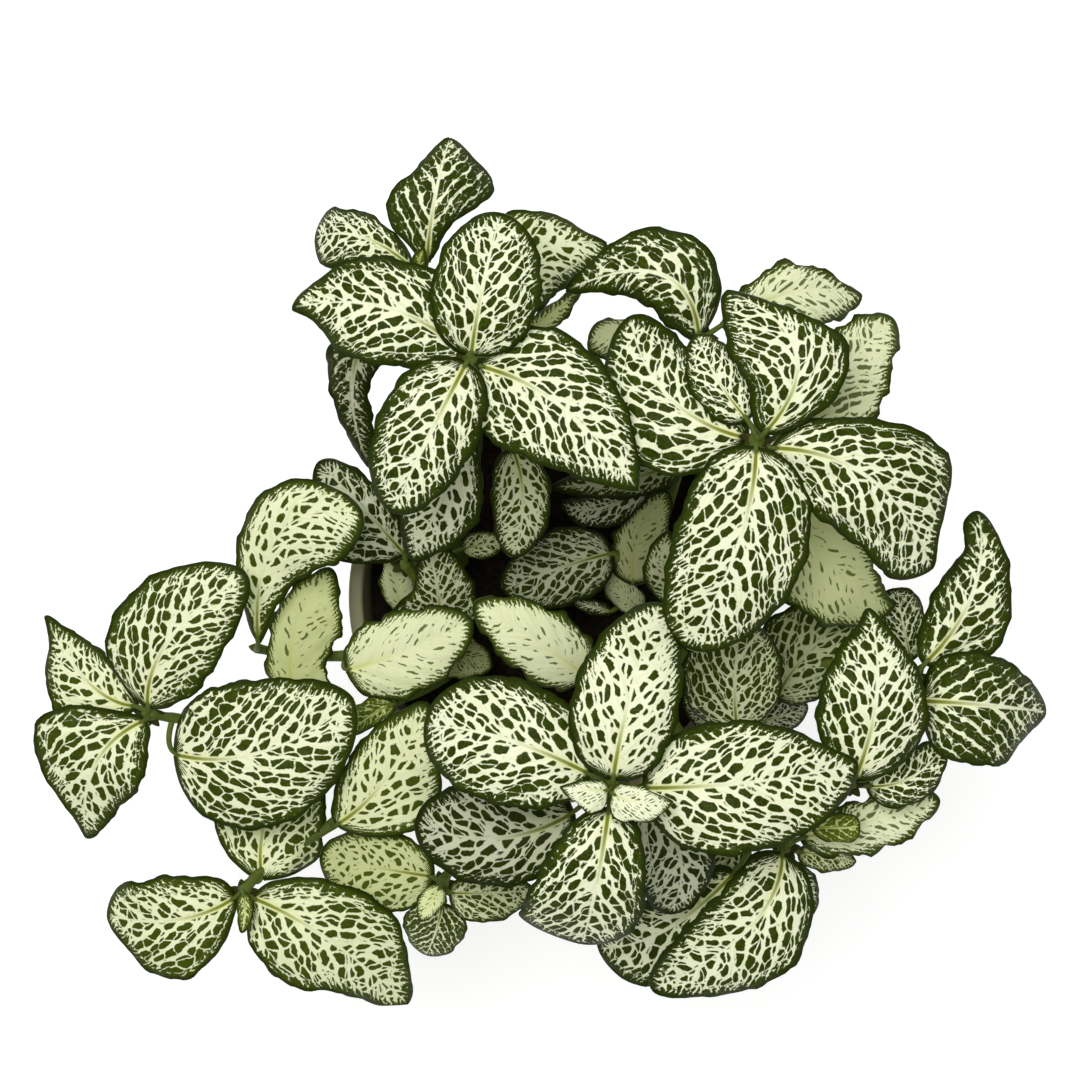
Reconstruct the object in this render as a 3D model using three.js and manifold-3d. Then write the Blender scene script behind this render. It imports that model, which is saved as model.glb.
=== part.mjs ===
// A potted nerve plant: leafy stems of a white-netted Fittonia, rooted in dark soil in a taupe nursery pot of
// 12 cm. Millimetres, +Z up, the origin at the middle of the pot's flat base. The plant is known from a
// photograph taken from straight above, so each leaf is given by its places in that picture and its heights.
import * as THREE from "three";
import { mergeVertices } from "three/addons/utils/BufferGeometryUtils.js";
import Module from "manifold-3d";

// Driving dimensions, in millimetres
const POT = {
  height: 105,
  rimRadius: 60,
  lipWidth: 4.2,
  collarHeight: 14,
  collarOverhang: 2.1,
  baseRadius: 43,
  wall: 1.6,
  floor: 2,
  edge: 0.8,
  drainRadius: 4,
  drainCircle: 27,
  drainCount: 6,
  sides: 32,
};
const SOIL = { top: 92, gap: 0.3, lump: 1.1, sides: 30, rings: 3, holeDepth: 9, holeSides: 6 };
const BLADE = { thick: 0.7, wave: 0.022, waves: 2.2, foot: 0.9, petiole: 1, petioleLength: 3.4 };
const STALK = { rootRadius: 2.1, tipRadius: 1.3, sides: 6, steps: 9, inSoil: 8, upright: 5, bud: 2.2 };

// The picture's view: its eye looks straight down, and a pixel is a ray from that eye
const VIEW = { centre: 540, eye: 1000, focal: 3086, potCentre: [555, 597] };

const pictureScale = (z) => (VIEW.eye - z) / VIEW.focal;

const potOffset = [
  (VIEW.centre - VIEW.potCentre[0]) * pictureScale(POT.height),
  (VIEW.potCentre[1] - VIEW.centre) * pictureScale(POT.height),
];

// the point at height z that the picture shows at pixel [px, py]
const place = ([px, py], z) =>
  new THREE.Vector3(
    (px - VIEW.centre) * pictureScale(z) + potOffset[0],
    (VIEW.centre - py) * pictureScale(z) + potOffset[1],
    z,
  );

// Leaf outlines: exponents towards the base and towards the tip
const FORMS = {
  round: [0.44, 0.48],
  oval: [0.42, 0.58],
  pointed: [0.42, 0.8],
  blunt: [0.42, 0.32],
};

// Leaves with an outline of their own: half widths left and right of the midrib, in picture pixels, at
// these places along it
const STATIONS = [0.1, 0.28, 0.5, 0.72, 0.9];
const A2 = [[28, 48, 59, 52, 16], [28, 52, 53, 48, 24]];
const A5 = [[35, 50, 53, 38, 12], [32, 44, 45, 38, 23]];
const A7 = [[20, 46, 45, 25, 13], [10, 18, 44, 56, 26]];
const A8 = [[12, 24, 28, 34, 30], [12, 20, 26, 28, 27]];
const A9 = [[20, 28, 18, 20, 12], [22, 32, 26, 17, 8]];
const B2 = [[28, 48, 62, 58, 32], [30, 50, 54, 24, 9]];
const B3 = [[48, 68, 68, 54, 30], [26, 42, 50, 46, 30]];
const B4 = [[32, 48, 68, 74, 24], [32, 56, 62, 56, 46]];
const B5 = [[22, 36, 34, 24, 12], [36, 49, 50, 42, 20]];
const B7 = [[12, 27, 36, 26, 9], [34, 46, 46, 38, 24]];
const B8 = [[26, 37, 42, 34, 22], [34, 56, 60, 40, 25]];
const C3 = [[45, 61, 63, 46, 20], [52, 71, 73, 61, 37]];
const C4 = [[34, 44, 51, 53, 38], [30, 48, 60, 68, 66]];
const C6 = [[34, 50, 62, 52, 28], [30, 42, 46, 41, 28]];
const D1 = [[36, 55, 57, 42, 15], [36, 56, 53, 35, 14]];
const D2 = [[23, 34, 36, 19, 18], [34, 52, 44, 31, 17]];
const D3 = [[42, 52, 53, 43, 24], [44, 60, 62, 60, 24]];
const D4 = [[16, 23, 26, 25, 18], [22, 31, 36, 32, 18]];
const E1 = [[32, 58, 63, 56, 34], [29, 49, 54, 46, 28]];
const E2 = [[14, 34, 48, 36, 8], [16, 34, 33, 27, 13]];
const E3 = [[24, 42, 51, 38, 22], [22, 60, 74, 46, 12]];
const G1 = [[22, 46, 62, 56, 27], [28, 38, 46, 41, 34]];
const G2 = [[27, 46, 58, 57, 28], [40, 58, 64, 40, 24]];
const G5 = [[24, 46, 58, 52, 34], [44, 60, 60, 53, 36]];
const H1 = [[22, 38, 44, 40, 22], [26, 50, 61, 45, 16]];
const I1 = [[16, 32, 42, 43, 28], [16, 34, 54, 58, 36]];
const I2 = [[30, 52, 50, 38, 20], [16, 24, 26, 24, 16]];
const I3 = [[25, 28, 30, 26, 14], [42, 37, 46, 40, 20]];
const I5 = [[54, 48, 26, 18, 8], [40, 40, 36, 28, 14]];
const I18 = [[31, 42, 43, 28, 8], [44, 59, 61, 51, 31]];
const I7 = [[12, 24, 42, 38, 20], [12, 28, 40, 38, 20]];

// base, mid and tip are the midrib's picture points, half the widest half widths left and right of it in
// pixels or an outline, z the heights of base, mid and tip, droop how far the left and right margins hang,
// and white how pale the net of veins is, from 0 for thin veins on green to 1 for a nearly all cream blade
const leaf = (name, base, mid, tip, half, z, droop, form, white) => ({
  name, base, mid, tip, half, z, droop, form, white,
});

// The leafy stems: where each is rooted, the stalk's route as [px, py, z], and its leaves
const STEMS = {
  stem_top_left: {
    root: [528, 520],
    route: [[515, 470, 128], [492, 410, 162], [475, 370, 182], [470, 357, 188]],
    leaves: [
      leaf("a1", [471, 356], [483, 285], [501, 213], [53, 60], [188, 197, 191], [3, 3], "round", 0.5),
      leaf("a2", [466, 356], [388, 308], [292, 308], A2, [186, 190, 176], [4, 4], "own", 0.55),
      leaf("a3", [467, 362], [431, 432], [392, 512], [47, 58], [189, 195, 183], [4, 4], "round", 0.5),
      leaf("a4", [477, 365], [562, 407], [638, 491], [66, 69], [186, 193, 188], [4, 4], "pointed", 0.6),
      leaf("a5", [488, 322], [533, 256], [607, 244], A5, [171, 170, 158], [4, 4], "own", 0.75),
      leaf("a6", [500, 345], [542, 322], [581, 286], [12, 16], [168, 160, 148], [2, 2], "oval", 0.95),
      leaf("i7", [478, 420], [446, 490], [412, 560], I7, [158, 154, 136], [2, 2], "own", 0.7),
      leaf("i8", [512, 448], [523, 500], [513, 557], [30, 33], [146, 146, 136], [3, 3], "round", 0.75),
    ],
  },
  stem_far_top: {
    root: [462, 560],
    route: [[440, 490, 122], [425, 390, 146], [420, 310, 164], [421, 272, 172]],
    leaves: [
      leaf("a7", [427, 262], [435, 197], [450, 138], A7, [174, 182, 172], [3, 8], "own", 0.15),
      leaf("a8", [412, 268], [362, 237], [315, 238], A8, [172, 173, 160], [3, 3], "own", 0.5),
      leaf("a9", [380, 322], [352, 384], [370, 468], A9, [162, 152, 118], [3, 3], "own", 0.1),
      leaf("a11", [422, 273], [419, 262], [424, 248], [8, 8], [175, 179, 182], [0, 0], "oval", 0),
    ],
  },
  stem_top_right: {
    root: [700, 560],
    route: [[722, 520, 125], [742, 475, 165], [754, 446, 186], [757, 439, 191]],
    leaves: [
      leaf("b1", [756, 446], [738, 545], [686, 648], [72, 66], [191, 194, 178], [5, 5], "round", 0.65),
      leaf("b2", [764, 434], [796, 352], [727, 290], B2, [194, 200, 186], [3, 3], "own", 0.55),
      leaf("b6", [748, 420], [716, 377], [698, 334], [30, 32], [191, 193, 186], [2, 2], "oval", 0.55),
      leaf("b3", [747, 438], [668, 396], [630, 316], B3, [188, 187, 173], [4, 4], "own", 0.5),
      leaf("b4", [771, 448], [872, 480], [931, 570], B4, [189, 193, 172], [4, 4], "own", 0.55),
      leaf("b8", [785, 428], [843, 368], [893, 318], B8, [176, 172, 160], [3, 3], "own", 0.85),
      leaf("i18", [778, 482], [836, 567], [896, 604], I18, [164, 158, 142], [3, 3], "own", 0.97),
      leaf("i14", [694, 600], [664, 574], [668, 531], [22, 24], [118, 128, 138], [2, 2], "oval", 0.8),
    ],
  },
  stem_far_right: {
    root: [662, 518],
    route: [[680, 460, 124], [696, 400, 148], [702, 352, 164], [702, 338, 170]],
    leaves: [
      leaf("b5", [699, 337], [660, 274], [566, 291], B5, [171, 180, 162], [7, 3], "own", 0.2),
      leaf("b7", [722, 325], [790, 293], [862, 295], B7, [168, 172, 158], [3, 3], "own", 0.85),
      leaf("b9", [690, 385], [640, 346], [588, 340], [24, 28], [150, 150, 142], [3, 3], "blunt", 0.95),
      leaf("i12", [650, 480], [602, 508], [562, 503], [22, 16], [132, 130, 122], [2, 2], "oval", 0.5),
      leaf("j1", [684, 452], [640, 476], [552, 487], [22, 22], [140, 138, 128], [2, 2], "oval", 0.6),
    ],
  },
  stem_front: {
    root: [600, 655],
    route: [[606, 700, 128], [610, 750, 160], [612, 778, 178], [612, 787, 184]],
    leaves: [
      leaf("c1", [613, 780], [631, 692], [660, 603], [58, 54], [185, 190, 174], [4, 4], "oval", 0.8),
      leaf("c2", [591, 775], [502, 738], [424, 726], [68, 62], [181, 184, 172], [4, 4], "round", 0.7),
      leaf("c3", [642, 788], [752, 782], [858, 764], C3, [181, 186, 174], [4, 4], "own", 0.75),
      leaf("c4", [609, 808], [597, 882], [582, 944], C4, [184, 188, 168], [4, 4], "own", 0.55),
      leaf("c5a", [611, 793], [640, 803], [673, 802], [19, 26], [190, 194, 192], [1, 1], "pointed", 0.9),
      leaf("c5b", [609, 790], [588, 790], [560, 787], [25, 12], [190, 193, 191], [1, 1], "pointed", 0.9),
      leaf("c7", [640, 798], [680, 856], [668, 914], [36, 48], [160, 158, 148], [3, 3], "round", 0.7),
      leaf("c10", [574, 812], [498, 838], [415, 824], [52, 60], [160, 158, 148], [3, 3], "round", 0.6),
      leaf("i6", [586, 676], [538, 642], [474, 603], [40, 40], [124, 138, 136], [3, 3], "oval", 1),
    ],
  },
  stem_front_right: {
    root: [648, 690],
    route: [[700, 760, 118], [745, 815, 136], [777, 842, 147], [785, 848, 150]],
    leaves: [
      leaf("c6", [782, 852], [750, 927], [652, 990], C6, [152, 154, 132], [5, 4], "own", 0.65),
      leaf("c8", [735, 872], [665, 930], [598, 948], [60, 35], [138, 136, 122], [4, 4], "round", 0.45),
      leaf("j8", [744, 838], [722, 868], [708, 902], [22, 18], [130, 127, 120], [1, 1], "oval", 0.6),
      leaf("d8", [790, 864], [806, 888], [811, 916], [14, 18], [138, 130, 120], [1, 1], "oval", 0.4),
      leaf("d7", [798, 852], [828, 856], [856, 862], [12, 18], [141, 137, 130], [1, 1], "oval", 0.5),
      leaf("d4", [800, 838], [868, 822], [940, 800], D4, [150, 149, 140], [3, 3], "own", 0.85),
      leaf("d5", [812, 826], [838, 828], [860, 826], [15, 17], [157, 159, 158], [1, 1], "blunt", 0.05),
    ],
  },
  stem_right_low: {
    root: [682, 655],
    route: [[740, 712, 132], [795, 755, 148], [840, 780, 158], [850, 784, 160]],
    leaves: [
      leaf("d1", [854, 781], [877, 692], [868, 608], D1, [162, 169, 160], [4, 4], "own", 0.65),
      leaf("d6", [866, 786], [912, 777], [945, 742], [28, 28], [155, 152, 146], [2, 2], "oval", 0.3),
      leaf("c9", [737, 728], [735, 675], [742, 620], [54, 50], [140, 150, 150], [3, 3], "round", 0.6),
      leaf("j2", [744, 718], [714, 716], [684, 692], [22, 24], [128, 125, 118], [2, 2], "oval", 0.7),
      leaf("j3", [750, 722], [779, 717], [808, 706], [22, 20], [122, 118, 110], [2, 2], "oval", 0.6),
    ],
  },
  stem_right: {
    root: [702, 622],
    route: [[780, 652, 124], [850, 668, 138], [905, 676, 149], [917, 678, 152]],
    leaves: [
      leaf("d2", [924, 664], [973, 592], [978, 511], D2, [153, 157, 150], [3, 3], "own", 0.35),
      leaf("d3", [922, 701], [984, 705], [1046, 712], D3, [153, 159, 138], [4, 4], "own", 0.2),
      leaf("d9", [911, 660], [903, 622], [897, 588], [22, 24], [143, 143, 139], [2, 2], "blunt", 0.35),
      leaf("i17", [776, 699], [808, 652], [858, 608], [52, 42], [126, 134, 134], [2, 2], "oval", 0.75),
      leaf("i16", [702, 648], [682, 620], [668, 588], [15, 17], [128, 140, 146], [1, 1], "oval", 0.7),
    ],
  },
  stem_far_left: {
    root: [478, 652],
    route: [[420, 690, 110], [350, 712, 113], [250, 724, 118], [175, 718, 123], [148, 714, 128]],
    leaves: [
      leaf("e1", [148, 708], [169, 640], [246, 573], E1, [131, 140, 142], [4, 4], "own", 0.6),
      leaf("e2", [138, 706], [90, 684], [45, 616], E2, [128, 130, 116], [3, 3], "own", 0.7),
      leaf("e3", [146, 720], [95, 765], [86, 838], E3, [131, 134, 118], [3, 3], "own", 0.6),
      leaf("i3", [293, 694], [296, 630], [331, 568], I3, [117, 121, 123], [2, 3], "own", 1),
      leaf("f1", [174, 754], [262, 752], [354, 700], [76, 78], [128, 139, 137], [5, 5], "oval", 0.65),
      leaf("f2", [394, 704], [370, 716], [347, 736], [12, 18], [117, 116, 113], [1, 1], "oval", 0.1),
    ],
  },
  stem_front_left: {
    root: [495, 682],
    route: [[430, 742, 110], [335, 822, 115], [264, 868, 119], [243, 892, 124]],
    leaves: [
      leaf("g1", [236, 897], [176, 920], [107, 915], G1, [125, 128, 114], [3, 3], "own", 0.65),
      leaf("g2", [252, 898], [326, 938], [408, 1004], G2, [125, 130, 110], [4, 4], "own", 0.7),
      leaf("g3", [243, 893], [245, 912], [242, 933], [9, 9], [128, 132, 132], [0, 0], "oval", 0.3),
      leaf("g5", [262, 880], [266, 816], [298, 742], G5, [120, 119, 112], [3, 3], "own", 0.75),
      leaf("h1", [336, 825], [385, 780], [428, 703], H1, [121, 131, 135], [3, 3], "own", 0.8),
    ],
  },
  stem_front_mid: {
    root: [535, 690],
    route: [[500, 780, 112], [458, 858, 121], [441, 884, 126]],
    leaves: [
      leaf("h2", [434, 877], [380, 868], [320, 856], [45, 38], [126, 122, 112], [3, 3], "round", 0.8),
      leaf("h3", [441, 886], [430, 903], [421, 921], [14, 14], [131, 135, 135], [1, 1], "oval", 0.9),
      leaf("h4", [449, 893], [490, 893], [534, 890], [20, 32], [127, 130, 122], [2, 2], "oval", 0.6),
      leaf("h5", [442, 903], [437, 928], [426, 955], [30, 36], [123, 119, 108], [3, 3], "round", 0.2),
    ],
  },
  stem_left: {
    root: [455, 636],
    route: [[400, 652, 108], [340, 656, 110], [290, 655, 109], [256, 648, 111]],
    leaves: [
      leaf("i1", [258, 642], [279, 535], [363, 514], I1, [121, 139, 141], [4, 4], "own", 0.8),
      leaf("i4", [346, 670], [408, 650], [472, 619], [44, 48], [117, 127, 129], [3, 3], "oval", 0.97),
      leaf("j4", [430, 652], [458, 654], [492, 668], [26, 28], [108, 111, 106], [2, 2], "oval", 0.85),
    ],
  },
  stem_mid_left: {
    root: [452, 590],
    route: [[440, 600, 108], [418, 580, 114], [405, 565, 118]],
    leaves: [
      leaf("i5", [440, 628], [437, 585], [424, 537], I5, [108, 122, 134], [3, 3], "own", 0.55),
      leaf("i10", [402, 612], [397, 578], [402, 540], [20, 22], [103, 111, 118], [1, 1], "round", 1),
      leaf("i9", [462, 549], [482, 545], [503, 543], [15, 15], [116, 120, 118], [1, 1], "round", 0.7),
      leaf("i2", [405, 555], [361, 506], [318, 462], I2, [120, 130, 128], [2, 2], "own", 0.55),
    ],
  },
  stem_middle: {
    root: [628, 592],
    route: [[624, 576, 108], [616, 556, 117]],
    leaves: [
      leaf("i11", [613, 553], [560, 568], [503, 590], [40, 40], [119, 121, 114], [3, 3], "round", 0.6),
      leaf("i13", [634, 584], [638, 540], [667, 490], [26, 32], [112, 122, 130], [2, 2], "oval", 0.95),
      leaf("i14b", [640, 612], [622, 594], [604, 572], [16, 20], [104, 110, 113], [1, 1], "oval", 0.95),
      leaf("i15", [612, 612], [590, 606], [570, 600], [8, 8], [106, 112, 112], [0, 0], "oval", 0.4),
    ],
  },
};

// Solids
const wasm = await Module();
wasm.setup();
const { Manifold, Mesh: SolidMesh } = wasm;

const solid = (points, triangles) => {
  const mesh = new SolidMesh({
    numProp: 3,
    vertProperties: new Float32Array(points.flatMap((p) => [p.x, p.y, p.z])),
    triVerts: new Uint32Array(triangles.flat()),
  });
  return new Manifold(mesh);
};

const outward = (points, triangles) => {
  let volume = 0;
  for (const [a, b, c] of triangles) {
    volume += points[a].dot(new THREE.Vector3().crossVectors(points[b], points[c]));
  }
  return solid(points, volume > 0 ? triangles : triangles.map(([a, b, c]) => [a, c, b]));
};

// one body without the small hollows that fused leaves can close off
const whole = (body) =>
  body
    .decompose()
    .sort((one, two) => two.volume() - one.volume())[0];

const asMesh = (name, body, colour, roughness) => {
  const { vertProperties, triVerts, numProp } = body.getMesh();
  const positions = [];
  for (let i = 0; i < vertProperties.length; i += numProp) {
    positions.push(vertProperties[i], vertProperties[i + 1], vertProperties[i + 2]);
  }
  const geometry = new THREE.BufferGeometry();
  geometry.setAttribute("position", new THREE.Float32BufferAttribute(positions, 3));
  geometry.setIndex([...triVerts]);
  geometry.computeVertexNormals();
  const mesh = new THREE.Mesh(geometry, new THREE.MeshStandardMaterial({ color: colour, roughness }));
  mesh.name = name;
  return mesh;
};

const fromGeometry = (geometry) => {
  geometry.deleteAttribute("normal");
  geometry.deleteAttribute("uv");
  const merged = mergeVertices(geometry);
  const position = merged.getAttribute("position");
  const points = [];
  for (let i = 0; i < position.count; i++) {
    points.push(new THREE.Vector3().fromBufferAttribute(position, i));
  }
  const triangles = [];
  for (let i = 0; i < merged.index.count; i += 3) {
    const corners = [0, 1, 2].map((k) => merged.index.getX(i + k));
    if (new Set(corners).size === 3) triangles.push(corners);
  }
  return outward(points, triangles);
};

// a solid of revolution about the pot's axis from an outline of [radius, z] that ends on the axis
const turned = (outline, sides) => {
  const profile = outline.map(([r, z]) => new THREE.Vector2(r, z));
  return fromGeometry(new THREE.LatheGeometry(profile, sides).rotateX(Math.PI / 2));
};

// a round cutter that stands on [x, y, z]
const drill = (radius, height, sides, x, y, z) =>
  fromGeometry(
    new THREE.CylinderGeometry(radius, radius, height, sides)
      .rotateX(Math.PI / 2)
      .translate(x, y, z + height / 2),
  );

// The stalks
const upright = (x, y, z) => new THREE.Vector3(x, y, z);

const stalkCurve = ({ root, route }) => {
  const foot = place(root, SOIL.top);
  const points = [
    upright(foot.x, foot.y, SOIL.top - STALK.inSoil),
    upright(foot.x, foot.y, SOIL.top - STALK.inSoil / 2),
    upright(foot.x, foot.y, SOIL.top + 1),
    upright(foot.x, foot.y, SOIL.top + STALK.upright),
    ...route.map(([px, py, z]) => place([px, py], z)),
  ];
  return new THREE.CatmullRomCurve3(points, false, "centripetal");
};

const stalkRadius = (u) => STALK.rootRadius + (STALK.tipRadius - STALK.rootRadius) * u;

// a round stalk along a curve, closed flat at its foot and to a point at its end
const tube = (curve, radius, sides, steps, point) => {
  const frames = curve.computeFrenetFrames(steps, false);
  const points = [];
  const triangles = [];
  for (let i = 0; i <= steps; i++) {
    const middle = curve.getPointAt(i / steps);
    for (let k = 0; k < sides; k++) {
      const angle = (2 * Math.PI * k) / sides;
      points.push(
        middle
          .clone()
          .addScaledVector(frames.normals[i], Math.cos(angle) * radius(i / steps))
          .addScaledVector(frames.binormals[i], Math.sin(angle) * radius(i / steps)),
      );
    }
  }
  points.push(curve.getPointAt(1).addScaledVector(frames.tangents[steps], point));
  const at = (i, k) => i * sides + (k % sides);
  for (let k = 0; k < sides; k++) {
    for (let i = 0; i < steps; i++) {
      triangles.push([at(i, k), at(i, k + 1), at(i + 1, k + 1)], [at(i, k), at(i + 1, k + 1), at(i + 1, k)]);
    }
    triangles.push([at(steps, k), at(steps, k + 1), points.length - 1]);
    if (k > 0 && k < sides - 1) triangles.push([at(0, 0), at(0, k + 1), at(0, k)]);
  }
  return outward(points, triangles);
};

const stalkBody = (curve) => tube(curve, stalkRadius, STALK.sides, STALK.steps, STALK.bud);

// The leaves: rows of points across the blade, from the stalk to the tip
const ROWS = {
  large: [0.1, 0.28, 0.5, 0.72, 0.9],
  middling: [0.14, 0.38, 0.64, 0.88],
  small: [0.2, 0.5, 0.82],
};
const ACROSS = { wide: [-1, -0.5, 0, 0.5, 1], narrow: [-1, 0, 1] };

const bend = (a, m, b, u) => {
  const middle = 2 * m - (a + b) / 2;
  return (1 - u) * (1 - u) * a + 2 * u * (1 - u) * middle + u * u * b;
};

const slope = (a, m, b, u) => {
  const middle = 2 * m - (a + b) / 2;
  return 2 * (1 - u) * (middle - a) + 2 * u * (b - middle);
};

const breadth = (form, u) => {
  const [p, q] = FORMS[form];
  const widest = p / (p + q);
  return (u ** p * (1 - u) ** q) / (widest ** p * (1 - widest) ** q);
};

// a smooth line through an outline's half widths, from the foot to the tip
const traced = (widths, u) => {
  const at = [0, ...STATIONS, 1].map((place) => Math.acos(1 - 2 * place));
  const value = [0, ...widths, 0];
  const rise = (i, j) => (value[j] - value[i]) / (at[j] - at[i]);
  const last = value.length - 1;
  const tangent = (i) => rise(Math.max(i - 1, 0), Math.min(i + 1, last));
  const here = Math.acos(1 - 2 * u);
  let k = 0;
  while (k < last - 1 && here > at[k + 1]) k += 1;
  const span = at[k + 1] - at[k];
  const s = (here - at[k]) / span;
  const own = (1 + 2 * s) * (1 - s) ** 2 * value[k] + s * s * (3 - 2 * s) * value[k + 1];
  const bent = s * (1 - s) ** 2 * tangent(k) - s * s * (1 - s) * tangent(k + 1);
  return Math.max(0, own + bent * span);
};

const leafGrid = (item, index, curve) => {
  const [a, m, b] = [item.base, item.mid, item.tip].map((at, i) => place(at, item.z[i]));
  const spine = (u) => upright(bend(a.x, m.x, b.x, u), bend(a.y, m.y, b.y, u), bend(a.z, m.z, b.z, u));
  const chord = new THREE.Vector3(b.x - a.x, b.y - a.y, 0).normalize();
  const length = spine(0.5).distanceTo(a) + spine(0.5).distanceTo(b);
  const widest = item.half.map((width) => (item.form === "own" ? Math.max(...width) : width));
  const half = widest.map((px) => px * pictureScale(item.z[1]));
  const fullness = (k, u) =>
    item.form === "own" ? traced(item.half[k], u) / widest[k] : breadth(item.form, u);
  const kind = length > 34 ? "large" : length > 19 ? "middling" : "small";
  const across = length > 26 ? ACROSS.wide : ACROSS.narrow;
  const side = (u) => {
    const along = upright(slope(a.x, m.x, b.x, u), slope(a.y, m.y, b.y, u), 0).normalize().add(chord);
    return upright(-along.y, along.x, 0).normalize();
  };
  const rows = ROWS[kind].map((u) => {
    const middle = spine(u);
    return across.map((t) => {
      const wide = fullness(t < 0 ? 0 : 1, u);
      const reach = (t < 0 ? -t * half[0] : -t * half[1]) * wide;
      const margin = Math.abs(t);
      const droop = (t < 0 ? item.droop[0] : item.droop[1]) * margin * margin * wide;
      const swell = 0.05 * Math.min(...half) * wide * Math.sin(Math.PI * margin) ** 2;
      const beat = Math.sin(2 * Math.PI * BLADE.waves * u + index * 1.7 + t);
      const wave = BLADE.wave * length * beat * margin ** 3;
      return middle.clone().addScaledVector(side(u), reach).setZ(middle.z + swell + wave - droop);
    });
  });
  // the nearest place on the stalk that leaves room for a petiole
  const reach = (point) => Math.max(point.distanceTo(a), BLADE.petioleLength);
  let joint = curve.getPointAt(1);
  for (let i = 99; i >= 30; i--) {
    const point = curve.getPointAt(i / 100);
    if (reach(point) < reach(joint) - 0.01) joint = point;
  }
  const start = rows[0][(across.length - 1) / 2].clone().sub(a).normalize();
  return { item, rows, across, joint, base: a, tip: b, side, start, turn: index % 7 };
};

// The layers: a blade that would touch one above it is bent down clear of it
const LAYER = { cell: 1.5, clear: 1.7, samples: 5, free: 7 };

const eachSample = (grid, visit) => {
  const rows = [grid.across.map(() => grid.base), ...grid.rows, grid.across.map(() => grid.tip)];
  for (let i = 0; i < rows.length - 1; i++) {
    for (let j = 0; j < grid.across.length - 1; j++) {
      const corners = [rows[i][j], rows[i][j + 1], rows[i + 1][j], rows[i + 1][j + 1]];
      for (let p = 0; p <= LAYER.samples; p++) {
        for (let q = 0; q <= LAYER.samples; q++) {
          const [s, t] = [p / LAYER.samples, q / LAYER.samples];
          const weights = [(1 - s) * (1 - t), (1 - s) * t, s * (1 - t), s * t];
          const at = [0, 0, 0];
          corners.forEach((corner, k) => {
            at[0] += corner.x * weights[k];
            at[1] += corner.y * weights[k];
            at[2] += corner.z * weights[k];
          });
          visit(at, i, j, weights);
        }
      }
    }
  }
};

const settle = (grids) => {
  const cells = new Map();
  const key = (x, y) => Math.round(x / LAYER.cell) * 1000 + Math.round(y / LAYER.cell);
  const order = [...grids].sort((p, q) => q.item.z[1] - p.item.z[1]);
  for (const grid of order) {
    const total = grid.rows.length + 2;
    const push = Array.from({ length: total }, () => grid.across.map(() => 0));
    eachSample(grid, ([x, y, z], i, j, weights) => {
      const near = Math.hypot(x - grid.base.x, y - grid.base.y) < LAYER.free;
      for (const [stem, low] of cells.get(key(x, y)) ?? []) {
        if (stem === grid.stem && near) continue;
        const need = z - (low - LAYER.clear);
        if (need <= 0) continue;
        [[i, j], [i, j + 1], [i + 1, j], [i + 1, j + 1]].forEach(([r, c], k) => {
          if (weights[k] > 0.05) push[r][c] = Math.max(push[r][c], need);
        });
      }
    });
    const tipPush = Math.max(...push[total - 1]);
    grid.push = Math.max(tipPush, ...push.flat());
    grid.rows.forEach((row, i) => row.forEach((point, j) => point.setZ(point.z - push[i + 1][j])));
    grid.tip = grid.tip.clone().setZ(grid.tip.z - tipPush);
    eachSample(grid, ([x, y, z]) => {
      const list = cells.get(key(x, y)) ?? [];
      const mine = list.find(([stem, , name]) => name === grid.item.name);
      if (mine) mine[1] = Math.min(mine[1], z);
      else list.push([grid.stem, z, grid.item.name]);
      cells.set(key(x, y), list);
    });
  }
};

// the petiole leaves the stalk and runs into the blade along its midrib
const petioleBody = ({ joint, base, start, turn }) => {
  const distance = joint.distanceTo(base);
  const end = base.clone().addScaledVector(start, 1.6 + 0.07 * turn);
  const control = base.clone().addScaledVector(start, -0.4 * distance);
  const curve = new THREE.QuadraticBezierCurve3(joint, control, end);
  const steps = distance > 12 ? 3 : distance > 6 ? 2 : 1;
  return tube(curve, (u) => BLADE.petiole * (1 - 0.25 * u), 3, steps, 0.5);
};

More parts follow.
